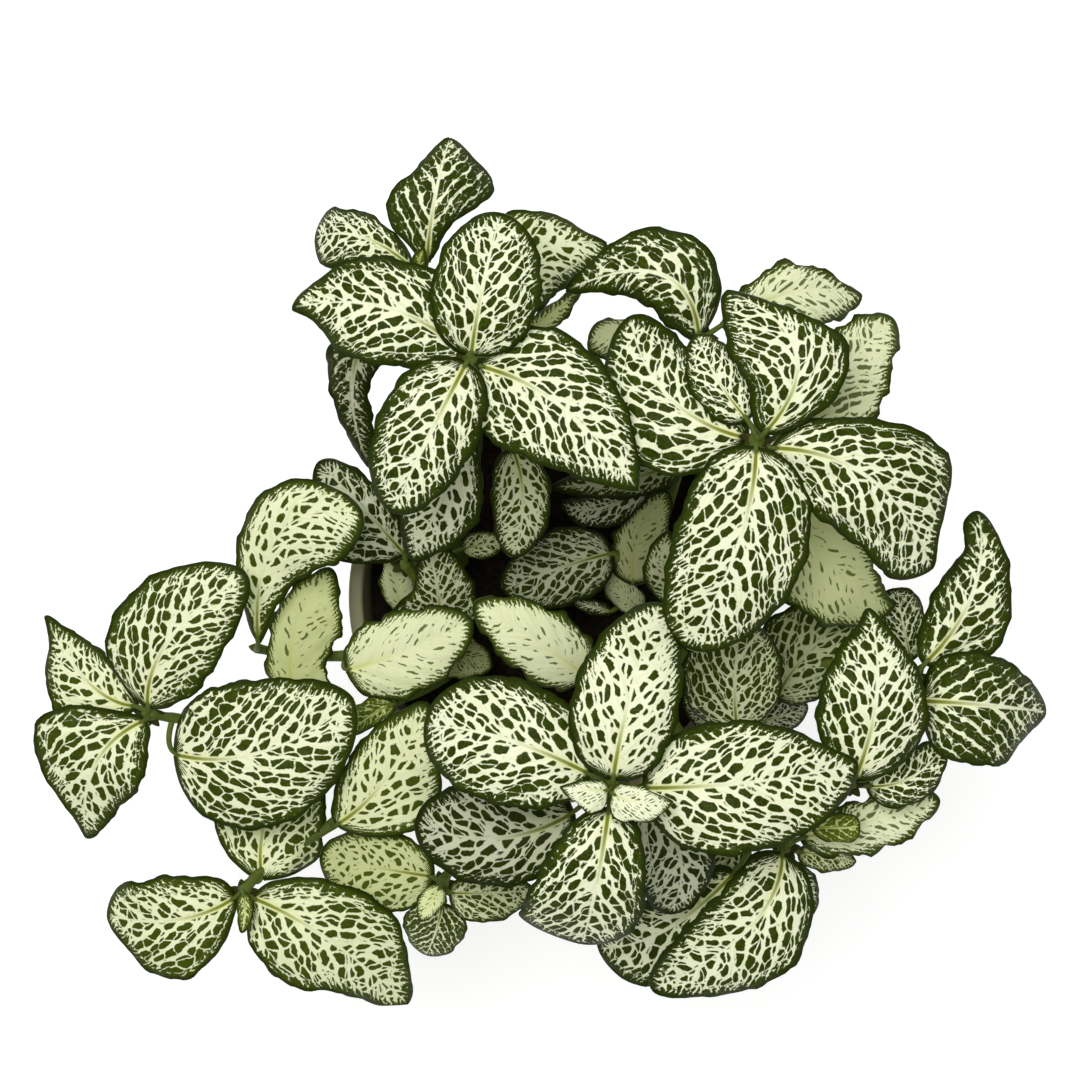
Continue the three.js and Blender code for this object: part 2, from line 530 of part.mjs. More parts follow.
// the closed solid of one blade: the same triangles on its face and its back
const leafBody = (grid) => {
  const { base, tip, side, start } = grid;
  const line = [];
  const narrow = [-1, 0, 1];
  const up = side(0).clone().cross(start).normalize();
  if (up.z < 0) up.negate();
  line.push({
    points: narrow.map((t) => base.clone().addScaledVector(side(0), -t * BLADE.foot)),
    ups: narrow.map(() => up),
    thick: BLADE.thick + 0.1,
    across: narrow,
  });
  grid.rows.forEach((row, i) => {
    const ups = row.map((point, j) => {
      const before = i === 0 ? base : grid.rows[i - 1][j];
      const after = i === grid.rows.length - 1 ? tip : grid.rows[i + 1][j];
      const along = after.clone().sub(before);
      const over = row[Math.max(0, j - 1)].clone().sub(row[Math.min(row.length - 1, j + 1)]);
      const normal = along.cross(over).normalize();
      return normal.z < 0 ? normal.negate() : normal;
    });
    line.push({ points: row, ups, thick: BLADE.thick, across: grid.across });
  });
  const last = line[line.length - 1].ups;
  line.push({ points: [tip], ups: [last[(last.length - 1) / 2]], thick: BLADE.thick, across: [0] });

  const points = [];
  const triangles = [];
  const index = line.map(({ points: row, ups, thick }) =>
    row.map((point, j) => {
      points.push(point.clone().addScaledVector(ups[j], thick / 2));
      points.push(point.clone().addScaledVector(ups[j], -thick / 2));
      return points.length - 2;
    }),
  );
  const both = (a, b, c) => triangles.push([a, b, c], [a + 1, c + 1, b + 1]);
  for (let i = 0; i < line.length - 1; i++) {
    const [one, two] = [index[i], index[i + 1]];
    const [s, t] = [line[i].across, line[i + 1].across];
    let [p, q] = [0, 0];
    while (p < one.length - 1 || q < two.length - 1) {
      const oneIsBehind = p < one.length - 1 && s[p] + s[p + 1] <= t[q] + t[q + 1];
      if (q === two.length - 1 || oneIsBehind) {
        both(one[p], one[p + 1], two[q]);
        p += 1;
      } else {
        both(one[p], two[q + 1], two[q]);
        q += 1;
      }
    }
    const wall = (a, b) => triangles.push([a, b, b + 1], [a, b + 1, a + 1]);
    wall(one[0], two[0]);
    wall(two[two.length - 1], one[one.length - 1]);
  }
  const first = index[0];
  for (let j = 0; j < first.length - 1; j++) {
    triangles.push([first[j + 1], first[j], first[j] + 1], [first[j + 1], first[j] + 1, first[j + 1] + 1]);
  }
  return outward(points, triangles);
};

// The pot and its soil
const inner = (z) => {
  const [low, high] = [POT.height - POT.collarHeight, POT.height];
  const atLow = POT.rimRadius - POT.collarOverhang - POT.wall - 1.5;
  const atTop = POT.rimRadius - POT.lipWidth;
  if (z > low) return atLow + ((atTop - atLow) * (z - low)) / (high - low);
  const atFloor = POT.baseRadius - POT.wall;
  return atFloor + ((atLow - atFloor) * z) / low;
};

const potBody = () => {
  const low = POT.height - POT.collarHeight;
  const { edge } = POT;
  let body = turned(
    [
      [0, 0],
      [POT.baseRadius - edge, 0],
      [POT.baseRadius, edge],
      [inner(low) + POT.wall, low],
      [POT.rimRadius - 1.2, low],
      [POT.rimRadius - 0.9, low + edge],
      [POT.rimRadius, POT.height - edge],
      [POT.rimRadius - edge, POT.height],
      [inner(POT.height) + edge, POT.height],
      [inner(POT.height), POT.height - edge],
      [inner(low), low],
      [inner(POT.floor + edge), POT.floor + edge],
      [inner(POT.floor) - edge, POT.floor],
      [0, POT.floor],
    ],
    POT.sides,
  );
  for (let k = 0; k < POT.drainCount; k++) {
    const angle = (2 * Math.PI * k) / POT.drainCount;
    const [x, y] = [POT.drainCircle * Math.cos(angle), POT.drainCircle * Math.sin(angle)];
    body = body.subtract(drill(POT.drainRadius, POT.floor + 2, 16, x, y, -1));
  }
  return body;
};

const soilTop = (r, angle) => {
  const [across, along] = [Math.sin(3 * angle + r / 9), Math.cos(5 * angle - r / 5)];
  const lumps = 0.5 * across + 0.35 * along + 0.3 * Math.sin(r / 4);
  return SOIL.top + SOIL.lump * lumps - (r > 45 ? 1.2 : 0);
};

const soilBody = (curves) => {
  const shrink = Math.cos(Math.PI / POT.sides);
  const points = [];
  const triangles = [];
  const bottom = POT.floor + SOIL.gap;
  const foot = (inner(bottom) - 1.4) * shrink;
  const shoulder = POT.height - POT.collarHeight;
  const rings = [];
  const ring = (radius, height) => {
    rings.push(points.length);
    for (let k = 0; k < SOIL.sides; k++) {
      const angle = (2 * Math.PI * k) / SOIL.sides;
      points.push(upright(radius * Math.cos(angle), radius * Math.sin(angle), height(radius, angle)));
    }
  };
  ring(foot, () => bottom);
  ring((inner(bottom + 2) - SOIL.gap - 0.1) * shrink, () => bottom + 2);
  ring((inner(shoulder - 4) - SOIL.gap - 0.1) * shrink, () => shoulder - 4);
  const edge = (inner(shoulder - 2) - SOIL.gap - 0.1) * shrink;
  for (let i = 0; i < SOIL.rings; i++) ring(edge * (1 - i / SOIL.rings), soilTop);
  for (let i = 0; i < rings.length - 1; i++) {
    for (let k = 0; k < SOIL.sides; k++) {
      const [a, b] = [rings[i] + k, rings[i] + ((k + 1) % SOIL.sides)];
      const [c, d] = [rings[i + 1] + k, rings[i + 1] + ((k + 1) % SOIL.sides)];
      triangles.push([a, b, d], [a, d, c]);
    }
  }
  points.push(upright(0, 0, SOIL.top), upright(0, 0, bottom));
  const [crown, under] = [points.length - 2, points.length - 1];
  for (let k = 0; k < SOIL.sides; k++) {
    const next = (k + 1) % SOIL.sides;
    triangles.push([rings[rings.length - 1] + k, rings[rings.length - 1] + next, crown]);
    triangles.push([rings[0] + next, rings[0] + k, under]);
  }
  let body = outward(points, triangles);
  const wide = (STALK.rootRadius + SOIL.gap) / Math.cos(Math.PI / SOIL.holeSides);
  for (const curve of curves) {
    const root = curve.getPointAt(0);
    const low = SOIL.top - STALK.inSoil - SOIL.gap;
    body = body.subtract(drill(wide, SOIL.holeDepth + 6, SOIL.holeSides, root.x, root.y, low));
  }
  return body;
};

// The whole thing
const curves = Object.fromEntries(Object.entries(STEMS).map(([name, stem]) => [name, stalkCurve(stem)]));
let count = 0;
const grids = Object.entries(STEMS).flatMap(([name, stem]) =>
  stem.leaves.map((item) => ({ ...leafGrid(item, count++, curves[name]), stem: name })),
);
settle(grids);

const plant = new THREE.Group();
plant.name = "potted_nerve_plant";
plant.add(asMesh("pot", potBody(), 0x7e7a5c, 0.55));
plant.add(asMesh("soil", soilBody(Object.values(curves)), 0x15120f, 0.95));
for (const name of Object.keys(STEMS)) {
  const own = grids.filter((grid) => grid.stem === name);
  const leaves = own.flatMap((grid) => [petioleBody(grid), leafBody(grid)]);
  plant.add(asMesh(name, whole(Manifold.union([stalkBody(curves[name]), ...leaves])), 0x93a862, 0.5));
}

export default plant;
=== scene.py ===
import math
import random
from itertools import accumulate, product

import bpy
import numpy as np
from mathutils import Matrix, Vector
from mathutils.geometry import delaunay_2d_cdt


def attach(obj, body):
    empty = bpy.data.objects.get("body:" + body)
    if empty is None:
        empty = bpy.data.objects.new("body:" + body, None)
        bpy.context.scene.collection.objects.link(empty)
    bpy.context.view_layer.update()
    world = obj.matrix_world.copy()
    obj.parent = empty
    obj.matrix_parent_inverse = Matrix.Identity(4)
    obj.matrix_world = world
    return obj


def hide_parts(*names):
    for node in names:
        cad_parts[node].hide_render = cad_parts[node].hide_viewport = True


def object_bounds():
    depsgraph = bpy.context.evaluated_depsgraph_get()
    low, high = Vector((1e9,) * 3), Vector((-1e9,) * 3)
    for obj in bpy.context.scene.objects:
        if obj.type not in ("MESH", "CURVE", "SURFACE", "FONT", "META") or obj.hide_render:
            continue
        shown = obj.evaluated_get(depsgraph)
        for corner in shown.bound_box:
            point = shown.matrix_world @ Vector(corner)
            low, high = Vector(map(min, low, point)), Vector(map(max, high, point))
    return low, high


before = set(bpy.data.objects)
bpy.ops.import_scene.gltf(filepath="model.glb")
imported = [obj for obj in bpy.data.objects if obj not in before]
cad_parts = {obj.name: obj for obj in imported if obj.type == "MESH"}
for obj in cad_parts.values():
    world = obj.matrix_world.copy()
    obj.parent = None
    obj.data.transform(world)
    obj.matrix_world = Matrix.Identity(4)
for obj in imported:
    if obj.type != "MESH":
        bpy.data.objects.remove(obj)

cad_box = [list(corner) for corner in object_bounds()]
METRE = 0.001

# The pot, the soil, the leaves and the stalks, as in the CAD
POT = dict(
    height=105, rim_radius=60, lip_width=4.2, collar_height=14, collar_overhang=2.1,
    base_radius=43, wall=1.6, step=1.5, floor=2, flat=3, drain_radius=4, drain_circle=27, drain_count=6,
)
COLLAR_FOOT = POT["height"] - POT["collar_height"]
SOIL = dict(top=92, lump=1.1, gap=0.3, hollow_beyond=45, hollow=1.2, crumbs=900, crumb_size=(0.25, 0.75))
BLADE = dict(thick=0.5, swell=0.05, wave=0.022, waves=2.2, foot=0.9, petiole=1.0, petiole_length=3.4)
STALK = dict(
    root_radius=2.1, tip_radius=1.3, in_soil=8, upright=5, bud=2.2, swelling=0.22, swelling_half=1.8,
)

# The picture's view: its eye looks straight down, and a pixel is a ray from that eye
VIEW = dict(centre=540, eye=1000, focal=3086, pot_centre=(555, 597), size=1080)


def picture_scale(z):
    """Millimetres to a pixel at height z."""
    return (VIEW["eye"] - z) / VIEW["focal"]


POT_OFFSET = np.subtract(VIEW["centre"], VIEW["pot_centre"]) * [1, -1] * picture_scale(POT["height"])


def place(pixel, z):
    """The point at height z that the picture shows at this pixel."""
    return np.array([*(np.subtract(pixel, VIEW["centre"]) * [1, -1] * picture_scale(z) + POT_OFFSET), z])


# Leaf forms: exponents towards the base and the tip
ROUND, OVAL, POINTED, BLUNT = (0.44, 0.48), (0.42, 0.58), (0.42, 0.8), (0.42, 0.32)

# Leaves with an outline of their own: half widths left and right of the midrib, in picture pixels, at
# these places along it
STATIONS = (0.1, 0.28, 0.5, 0.72, 0.9)
OUTLINES = dict(
    a2=((28, 48, 59, 52, 16), (28, 52, 53, 48, 24)),
    a5=((35, 50, 53, 38, 12), (32, 44, 45, 38, 23)),
    a7=((20, 46, 45, 25, 13), (10, 18, 44, 56, 26)),
    a8=((12, 24, 28, 34, 30), (12, 20, 26, 28, 27)),
    a9=((20, 28, 18, 20, 12), (22, 32, 26, 17, 8)),
    b2=((28, 48, 62, 58, 32), (30, 50, 54, 24, 9)),
    b3=((48, 68, 68, 54, 30), (26, 42, 50, 46, 30)),
    b4=((32, 48, 68, 74, 24), (32, 56, 62, 56, 46)),
    b5=((22, 36, 34, 24, 12), (36, 49, 50, 42, 20)),
    b7=((12, 27, 36, 26, 9), (34, 46, 46, 38, 24)),
    b8=((26, 37, 42, 34, 22), (34, 56, 60, 40, 25)),
    c3=((45, 61, 63, 46, 20), (52, 71, 73, 61, 37)),
    c4=((34, 44, 51, 53, 38), (30, 48, 60, 68, 66)),
    c6=((34, 50, 62, 52, 28), (30, 42, 46, 41, 28)),
    d1=((36, 55, 57, 42, 15), (36, 56, 53, 35, 14)),
    d2=((23, 34, 36, 19, 18), (34, 52, 44, 31, 17)),
    d3=((42, 52, 53, 43, 24), (44, 60, 62, 60, 24)),
    d4=((16, 23, 26, 25, 18), (22, 31, 36, 32, 18)),
    e1=((32, 58, 63, 56, 34), (29, 49, 54, 46, 28)),
    e2=((14, 34, 48, 36, 8), (16, 34, 33, 27, 13)),
    e3=((24, 42, 51, 38, 22), (22, 60, 74, 46, 12)),
    g1=((22, 46, 62, 56, 27), (28, 38, 46, 41, 34)),
    g2=((27, 46, 58, 57, 28), (40, 58, 64, 40, 24)),
    g5=((24, 46, 58, 52, 34), (44, 60, 60, 53, 36)),
    h1=((22, 38, 44, 40, 22), (26, 50, 61, 45, 16)),
    i1=((16, 32, 42, 43, 28), (16, 34, 54, 58, 36)),
    i2=((30, 52, 50, 38, 20), (16, 24, 26, 24, 16)),
    i3=((25, 28, 30, 26, 14), (42, 37, 46, 40, 20)),
    i5=((54, 48, 26, 18, 8), (40, 40, 36, 28, 14)),
    i18=((31, 42, 43, 28, 8), (44, 59, 61, 51, 31)),
    i7=((12, 24, 42, 38, 20), (12, 28, 40, 38, 20)),
)

# The leafy stems, as in the CAD: where each is rooted, and the stalk's route with its heights
ROUTES = dict(
    stem_top_left=[(528, 520), (515, 470, 128), (492, 410, 162), (475, 370, 182), (470, 357, 188)],
    stem_far_top=[(462, 560), (440, 490, 122), (425, 390, 146), (420, 310, 164), (421, 272, 172)],
    stem_top_right=[(700, 560), (722, 520, 125), (742, 475, 165), (754, 446, 186), (757, 439, 191)],
    stem_far_right=[(662, 518), (680, 460, 124), (696, 400, 148), (702, 352, 164), (702, 338, 170)],
    stem_front=[(600, 655), (606, 700, 128), (610, 750, 160), (612, 778, 178), (612, 787, 184)],
    stem_front_right=[(648, 690), (700, 760, 118), (745, 815, 136), (777, 842, 147), (785, 848, 150)],
    stem_right_low=[(682, 655), (740, 712, 132), (795, 755, 148), (840, 780, 158), (850, 784, 160)],
    stem_right=[(702, 622), (780, 652, 124), (850, 668, 138), (905, 676, 149), (917, 678, 152)],
    stem_far_left=[
        (478, 652), (420, 690, 110), (350, 712, 113), (250, 724, 118), (175, 718, 123), (148, 714, 128),
    ],
    stem_front_left=[(495, 682), (430, 742, 110), (335, 822, 115), (264, 868, 119), (243, 892, 124)],
    stem_front_mid=[(535, 690), (500, 780, 112), (458, 858, 121), (441, 884, 126)],
    stem_left=[(455, 636), (400, 652, 108), (340, 656, 110), (290, 655, 109), (256, 648, 111)],
    stem_mid_left=[(452, 590), (440, 600, 108), (418, 580, 114), (405, 565, 118)],
    stem_middle=[(628, 592), (624, 576, 108), (616, 556, 117)],
)

# Their leaves. Each row gives the base, mid and tip in picture pixels, their heights, the margins' droop,
# how much of the net is cream, how yellow-green that is, how bright the leaf is: painted shade, darker for
# the leaves lying under the others, and, unless it has an outline of its own, its half widths and its form
LEAVES = {}
LEAVES["stem_top_left"] = dict(
    a1=((471, 356), (483, 285), (501, 213), (188, 197, 191), 3, 0.5, 0.12, 1, (53, 60), ROUND),
    a2=((466, 356), (388, 308), (292, 308), (186, 190, 176), 4, 0.55, 0.12, 1),
    a3=((467, 362), (431, 432), (392, 512), (189, 195, 183), 4, 0.5, 0.12, 1, (47, 58), ROUND),
    a4=((477, 365), (562, 407), (638, 491), (186, 193, 188), 4, 0.6, 0.12, 1, (66, 69), POINTED),
    a5=((488, 322), (533, 256), (607, 244), (171, 170, 158), 4, 0.75, 0.3, 1),
    a6=((500, 345), (542, 322), (581, 286), (168, 160, 148), 2, 0.95, 0.8, 0.75, (12, 16), OVAL),
    i7=((478, 420), (446, 490), (412, 560), (158, 154, 136), 2, 0.7, 0.12, 0.85),
    i8=((512, 448), (523, 500), (513, 557), (146, 146, 136), 3, 0.75, 0.35, 0.72, (30, 33), ROUND),
)
LEAVES["stem_far_top"] = dict(
    a7=((427, 262), (435, 197), (450, 138), (174, 182, 172), (3, 8), 0.15, 0.12, 1),
    a8=((412, 268), (362, 237), (315, 238), (172, 173, 160), 3, 0.5, 0.12, 1),
    a9=((380, 322), (352, 384), (370, 468), (162, 152, 118), 3, 0.1, 0.12, 0.75),
    a11=((422, 273), (419, 262), (424, 248), (175, 179, 182), 0, 0, 1, 1, (8, 8), OVAL),
)
LEAVES["stem_top_right"] = dict(
    b1=((756, 446), (738, 545), (686, 648), (191, 194, 178), 5, 0.65, 0.12, 1, (72, 66), ROUND),
    b2=((764, 434), (796, 352), (727, 290), (194, 200, 186), 3, 0.55, 0.12, 1),
    b6=((748, 420), (716, 377), (698, 334), (191, 193, 186), 2, 0.55, 0.12, 1, (30, 32), OVAL),
    b3=((747, 438), (668, 396), (630, 316), (188, 187, 173), 4, 0.5, 0.12, 1),
    b4=((771, 448), (872, 480), (931, 570), (189, 193, 172), 4, 0.55, 0.12, 1),
    b8=((785, 428), (843, 368), (893, 318), (176, 172, 160), 3, 0.85, 0.4, 1),
    i18=((778, 482), (836, 567), (896, 604), (164, 158, 142), 3, 0.97, 0.7, 0.85),
    i14=((694, 600), (664, 574), (668, 531), (118, 128, 138), 2, 0.8, 0.5, 0.55, (22, 24), OVAL),
)
LEAVES["stem_far_right"] = dict(
    b5=((699, 337), (660, 274), (566, 291), (171, 180, 162), (7, 3), 0.2, 0.12, 1),
    b7=((722, 325), (790, 293), (862, 295), (168, 172, 158), 3, 0.85, 0.35, 1),
    b9=((690, 385), (640, 346), (588, 340), (150, 150, 142), 3, 0.95, 0.6, 0.7, (24, 28), BLUNT),
    i12=((650, 480), (602, 508), (562, 503), (132, 130, 122), 2, 0.5, 0.12, 0.38, (22, 16), OVAL),
    j1=((684, 452), (640, 476), (552, 487), (140, 138, 128), 2, 0.6, 0.4, 0.42, (22, 22), OVAL),
)
LEAVES["stem_front"] = dict(
    c1=((613, 780), (631, 692), (660, 603), (185, 190, 174), 4, 0.8, 0.12, 1, (58, 54), OVAL),
    c2=((591, 775), (502, 738), (424, 726), (181, 184, 172), 4, 0.7, 0.12, 1, (68, 62), ROUND),
    c3=((642, 788), (752, 782), (858, 764), (181, 186, 174), 4, 0.75, 0.12, 1),
    c4=((609, 808), (597, 882), (582, 944), (184, 188, 168), 4, 0.55, 0.12, 1),
    c5a=((611, 793), (640, 803), (673, 802), (190, 194, 192), 1, 0.9, 0.12, 1, (19, 26), POINTED),
    c5b=((609, 790), (588, 790), (560, 787), (190, 193, 191), 1, 0.9, 0.12, 1, (25, 12), POINTED),
    c7=((640, 798), (680, 856), (668, 914), (160, 158, 148), 3, 0.7, 0.12, 0.6, (36, 48), ROUND),
    c10=((574, 812), (498, 838), (415, 824), (160, 158, 148), 3, 0.6, 0.12, 0.62, (52, 60), ROUND),
    i6=((586, 676), (538, 642), (474, 603), (124, 138, 136), 3, 1, 0.35, 1, (40, 40), OVAL),
)
LEAVES["stem_front_right"] = dict(
    c6=((782, 852), (750, 927), (652, 990), (152, 154, 132), (5, 4), 0.65, 0.12, 1),
    c8=((735, 872), (665, 930), (598, 948), (138, 136, 122), 4, 0.45, 0.12, 1, (60, 35), ROUND),
    j8=((744, 838), (722, 868), (708, 902), (130, 127, 120), 1, 0.6, 0.12, 0.6, (22, 18), OVAL),
    d8=((790, 864), (806, 888), (811, 916), (138, 130, 120), 1, 0.4, 0.12, 1, (14, 18), OVAL),
    d7=((798, 852), (828, 856), (856, 862), (141, 137, 130), 1, 0.5, 0.5, 1, (12, 18), OVAL),
    d4=((800, 838), (868, 822), (940, 800), (150, 149, 140), 3, 0.85, 0.35, 1),
    d5=((812, 826), (838, 828), (860, 826), (157, 159, 158), 1, 0.05, 1, 1, (15, 17), BLUNT),
)
LEAVES["stem_right_low"] = dict(
    d1=((854, 781), (877, 692), (868, 608), (162, 169, 160), 4, 0.65, 0.12, 1),
    d6=((866, 786), (912, 777), (945, 742), (155, 152, 146), 2, 0.3, 0.12, 1, (28, 28), OVAL),
    c9=((737, 728), (735, 675), (742, 620), (140, 150, 150), 3, 0.6, 0.35, 0.85, (54, 50), ROUND),
    j2=((744, 718), (714, 716), (684, 692), (128, 125, 118), 2, 0.7, 0.12, 0.6, (22, 24), OVAL),
    j3=((750, 722), (779, 717), (808, 706), (122, 118, 110), 2, 0.6, 0.12, 0.55, (22, 20), OVAL),
)
LEAVES["stem_right"] = dict(
    d2=((924, 664), (973, 592), (978, 511), (153, 157, 150), 3, 0.35, 0.12, 1),
    d3=((922, 701), (984, 705), (1046, 712), (153, 159, 138), 4, 0.2, 0.12, 1),
    d9=((911, 660), (903, 622), (897, 588), (143, 143, 139), 2, 0.35, 0.12, 0.7, (22, 24), BLUNT),
    i17=((776, 699), (808, 652), (858, 608), (126, 134, 134), 2, 0.75, 0.45, 0.6, (52, 42), OVAL),
    i16=((702, 648), (682, 620), (668, 588), (128, 140, 146), 1, 0.7, 0.4, 0.6, (15, 17), OVAL),
)
LEAVES["stem_far_left"] = dict(
    e1=((148, 708), (169, 640), (246, 573), (131, 140, 142), 4, 0.6, 0.25, 1),
    e2=((138, 706), (90, 684), (45, 616), (128, 130, 116), 3, 0.7, 0.3, 1),
    e3=((146, 720), (95, 765), (86, 838), (131, 134, 118), 3, 0.6, 0.25, 1),
    i3=((293, 694), (296, 630), (331, 568), (117, 121, 123), (2, 3), 1, 0.8, 0.8),
    f1=((174, 754), (262, 752), (354, 700), (128, 139, 137), 5, 0.65, 0.2, 1, (76, 78), OVAL),
    f2=((394, 704), (370, 716), (347, 736), (117, 116, 113), 1, 0.1, 1, 0.8, (12, 18), OVAL),
)
LEAVES["stem_front_left"] = dict(
    g1=((236, 897), (176, 920), (107, 915), (125, 128, 114), 3, 0.65, 0.35, 1),
    g2=((252, 898), (326, 938), (408, 1004), (125, 130, 110), 4, 0.7, 0.35, 1),
    g3=((243, 893), (245, 912), (242, 933), (128, 132, 132), 0, 0.3, 0.8, 1, (9, 9), OVAL),
    g5=((262, 880), (266, 816), (298, 742), (120, 119, 112), 3, 0.75, 0.35, 1),
    h1=((336, 825), (385, 780), (428, 703), (121, 131, 135), 3, 0.8, 0.45, 1),
)
LEAVES["stem_front_mid"] = dict(
    h2=((434, 877), (380, 868), (320, 856), (126, 122, 112), 3, 0.8, 0.75, 0.8, (45, 38), ROUND),
    h3=((441, 886), (430, 903), (421, 921), (131, 135, 135), 1, 0.9, 0.7, 1, (14, 14), OVAL),
    h4=((449, 893), (490, 893), (534, 890), (127, 130, 122), 2, 0.6, 0.45, 0.8, (20, 32), OVAL),
    h5=((442, 903), (437, 928), (426, 955), (123, 119, 108), 3, 0.2, 0.3, 1, (30, 36), ROUND),
)
LEAVES["stem_left"] = dict(
    i1=((258, 642), (279, 535), (363, 514), (121, 139, 141), 4, 0.8, 0.35, 1),
    i4=((346, 670), (408, 650), (472, 619), (117, 127, 129), 3, 0.97, 0.4, 1, (44, 48), OVAL),
    j4=((430, 652), (458, 654), (492, 668), (108, 111, 106), 2, 0.85, 0.8, 0.5, (26, 28), OVAL),
)
LEAVES["stem_mid_left"] = dict(
    i5=((440, 628), (437, 585), (424, 537), (108, 122, 134), 3, 0.55, 0.3, 0.85),
    i10=((402, 612), (397, 578), (402, 540), (103, 111, 118), 1, 1, 0.6, 0.8, (20, 22), ROUND),
    i9=((462, 549), (482, 545), (503, 543), (116, 120, 118), 1, 0.7, 0.5, 0.7, (15, 15), ROUND),
    i2=((405, 555), (361, 506), (318, 462), (120, 130, 128), 2, 0.55, 0.12, 0.62),
)
LEAVES["stem_middle"] = dict(
    i11=((613, 553), (560, 568), (503, 590), (119, 121, 114), 3, 0.6, 0.3, 0.45, (40, 40), ROUND),
    i13=((634, 584), (638, 540), (667, 490), (112, 122, 130), 2, 0.95, 0.8, 0.5, (26, 32), OVAL),
    i14b=((640, 612), (622, 594), (604, 572), (104, 110, 113), 1, 0.95, 0.6, 0.5, (16, 20), OVAL),
    i15=((612, 612), (590, 606), (570, 600), (106, 112, 112), 0, 0.4, 0.12, 0.6, (8, 8), OVAL),
)


# Curves


def arc(a, control, b, u):
    """The point at u on the curve from a to b that leans towards a control point."""
    u = np.asarray(u, float)[..., None]
    return (1 - u) ** 2 * a + 2 * u * (1 - u) * control + u**2 * b


def bend(a, m, b, u):
    """The point at u on the parabola through a, m at the middle, and b."""
    return arc(a, 2 * m - (a + b) / 2, b, u)


def slope(a, m, b, u):
    """The direction of that parabola at u."""
    middle = 2 * m - (a + b) / 2
    u = np.asarray(u, float)[..., None]
    return 2 * (1 - u) * (middle - a) + 2 * u * (b - middle)


def unit(v):
    return v / np.maximum(np.linalg.norm(v, axis=-1, keepdims=True), 1e-9)


def run_of(line):
    """How far along a line its points lie."""
    return np.concatenate([[0], np.cumsum(np.linalg.norm(np.diff(line, axis=0), axis=1))])


def even(line, steps):
    """The same line with its points evenly spaced."""
    run = run_of(line)
    at = np.linspace(0, run[-1], steps + 1)
    return np.stack([np.interp(at, run, line[:, k]) for k in range(3)], axis=1)


def through(points, steps, fineness=24):
    """Evenly spaced points on a centripetal Catmull-Rom curve through these points."""
    points = [np.asarray(p, float) for p in points]
    points = [2 * points[0] - points[1], *points, 2 * points[-1] - points[-2]]
    fine = []
    for four in zip(points, points[1:], points[2:], points[3:]):
        knots = [0.0]
        for p, q in zip(four, four[1:]):
            knots.append(knots[-1] + np.linalg.norm(q - p) ** 0.5)
        spans = (knots[:3], knots[1:]), (knots[:2], knots[2:]), (knots[1:2], knots[2:3])
        for t in np.linspace(knots[1], knots[2], fineness, endpoint=False):
            layer = four
            for starts, ends in spans:
                layer = [
                    (end - t) / (end - start) * p + (t - start) / (end - start) * q
                    for p, q, start, end in zip(layer, layer[1:], starts, ends)
                ]
            fine.append(layer[0])
    fine.append(points[-2])
    return even(np.array(fine), steps)


# The blades: the CAD's formulas, at any u along and t across

# The CAD's rows along a blade and the fine blade's quads along and across, by the blade's length
SIZES = (
    dict(above=34, rows=(0.1, 0.28, 0.5, 0.72, 0.9), quads=(56, 32)),
    dict(above=19, rows=(0.14, 0.38, 0.64, 0.88), quads=(40, 24)),
    dict(above=0, rows=(0.2, 0.5, 0.82), quads=(26, 14)),
)
ACROSS = dict(wide=(-1, -0.5, 0, 0.5, 1), narrow=(-1, 0, 1), wide_above=26)


def breadth(form, u):
    p, q = form
    widest = p / (p + q)
    return (u**p * (1 - u) ** q) / (widest**p * (1 - widest) ** q)


def traced(widths, u):
    """A smooth line through an outline's half widths, from the foot to the tip."""
    at = np.arccos(1 - 2 * np.array([0, *STATIONS, 1]))
    value = np.array([0, *widths, 0], float)
    padded = np.pad([at, value], ((0, 0), (1, 1)), mode="edge")
    run, rise = padded[:, 2:] - padded[:, :-2]
    tangent = rise / run
    here = np.arccos(1 - 2 * u)
    k = np.clip(np.searchsorted(at, here, side="left") - 1, 0, len(value) - 2)
    span = at[k + 1] - at[k]
    s = (here - at[k]) / span
    own = (1 + 2 * s) * (1 - s) ** 2 * value[k] + s * s * (3 - 2 * s) * value[k + 1]
    bent = s * (1 - s) ** 2 * tangent[k] - s * s * (1 - s) * tangent[k + 1]
    return np.maximum(own + bent * span, 0)


def eased(stops, at):
    """Which stretch between stops each value is in, and how far through it, eased."""
    stops = np.array(stops)
    k = np.clip(np.searchsorted(stops, at, side="right") - 1, 0, len(stops) - 2)
    s = (at - stops[k]) / (stops[k + 1] - stops[k])
    return k, s * s * (3 - 2 * s)


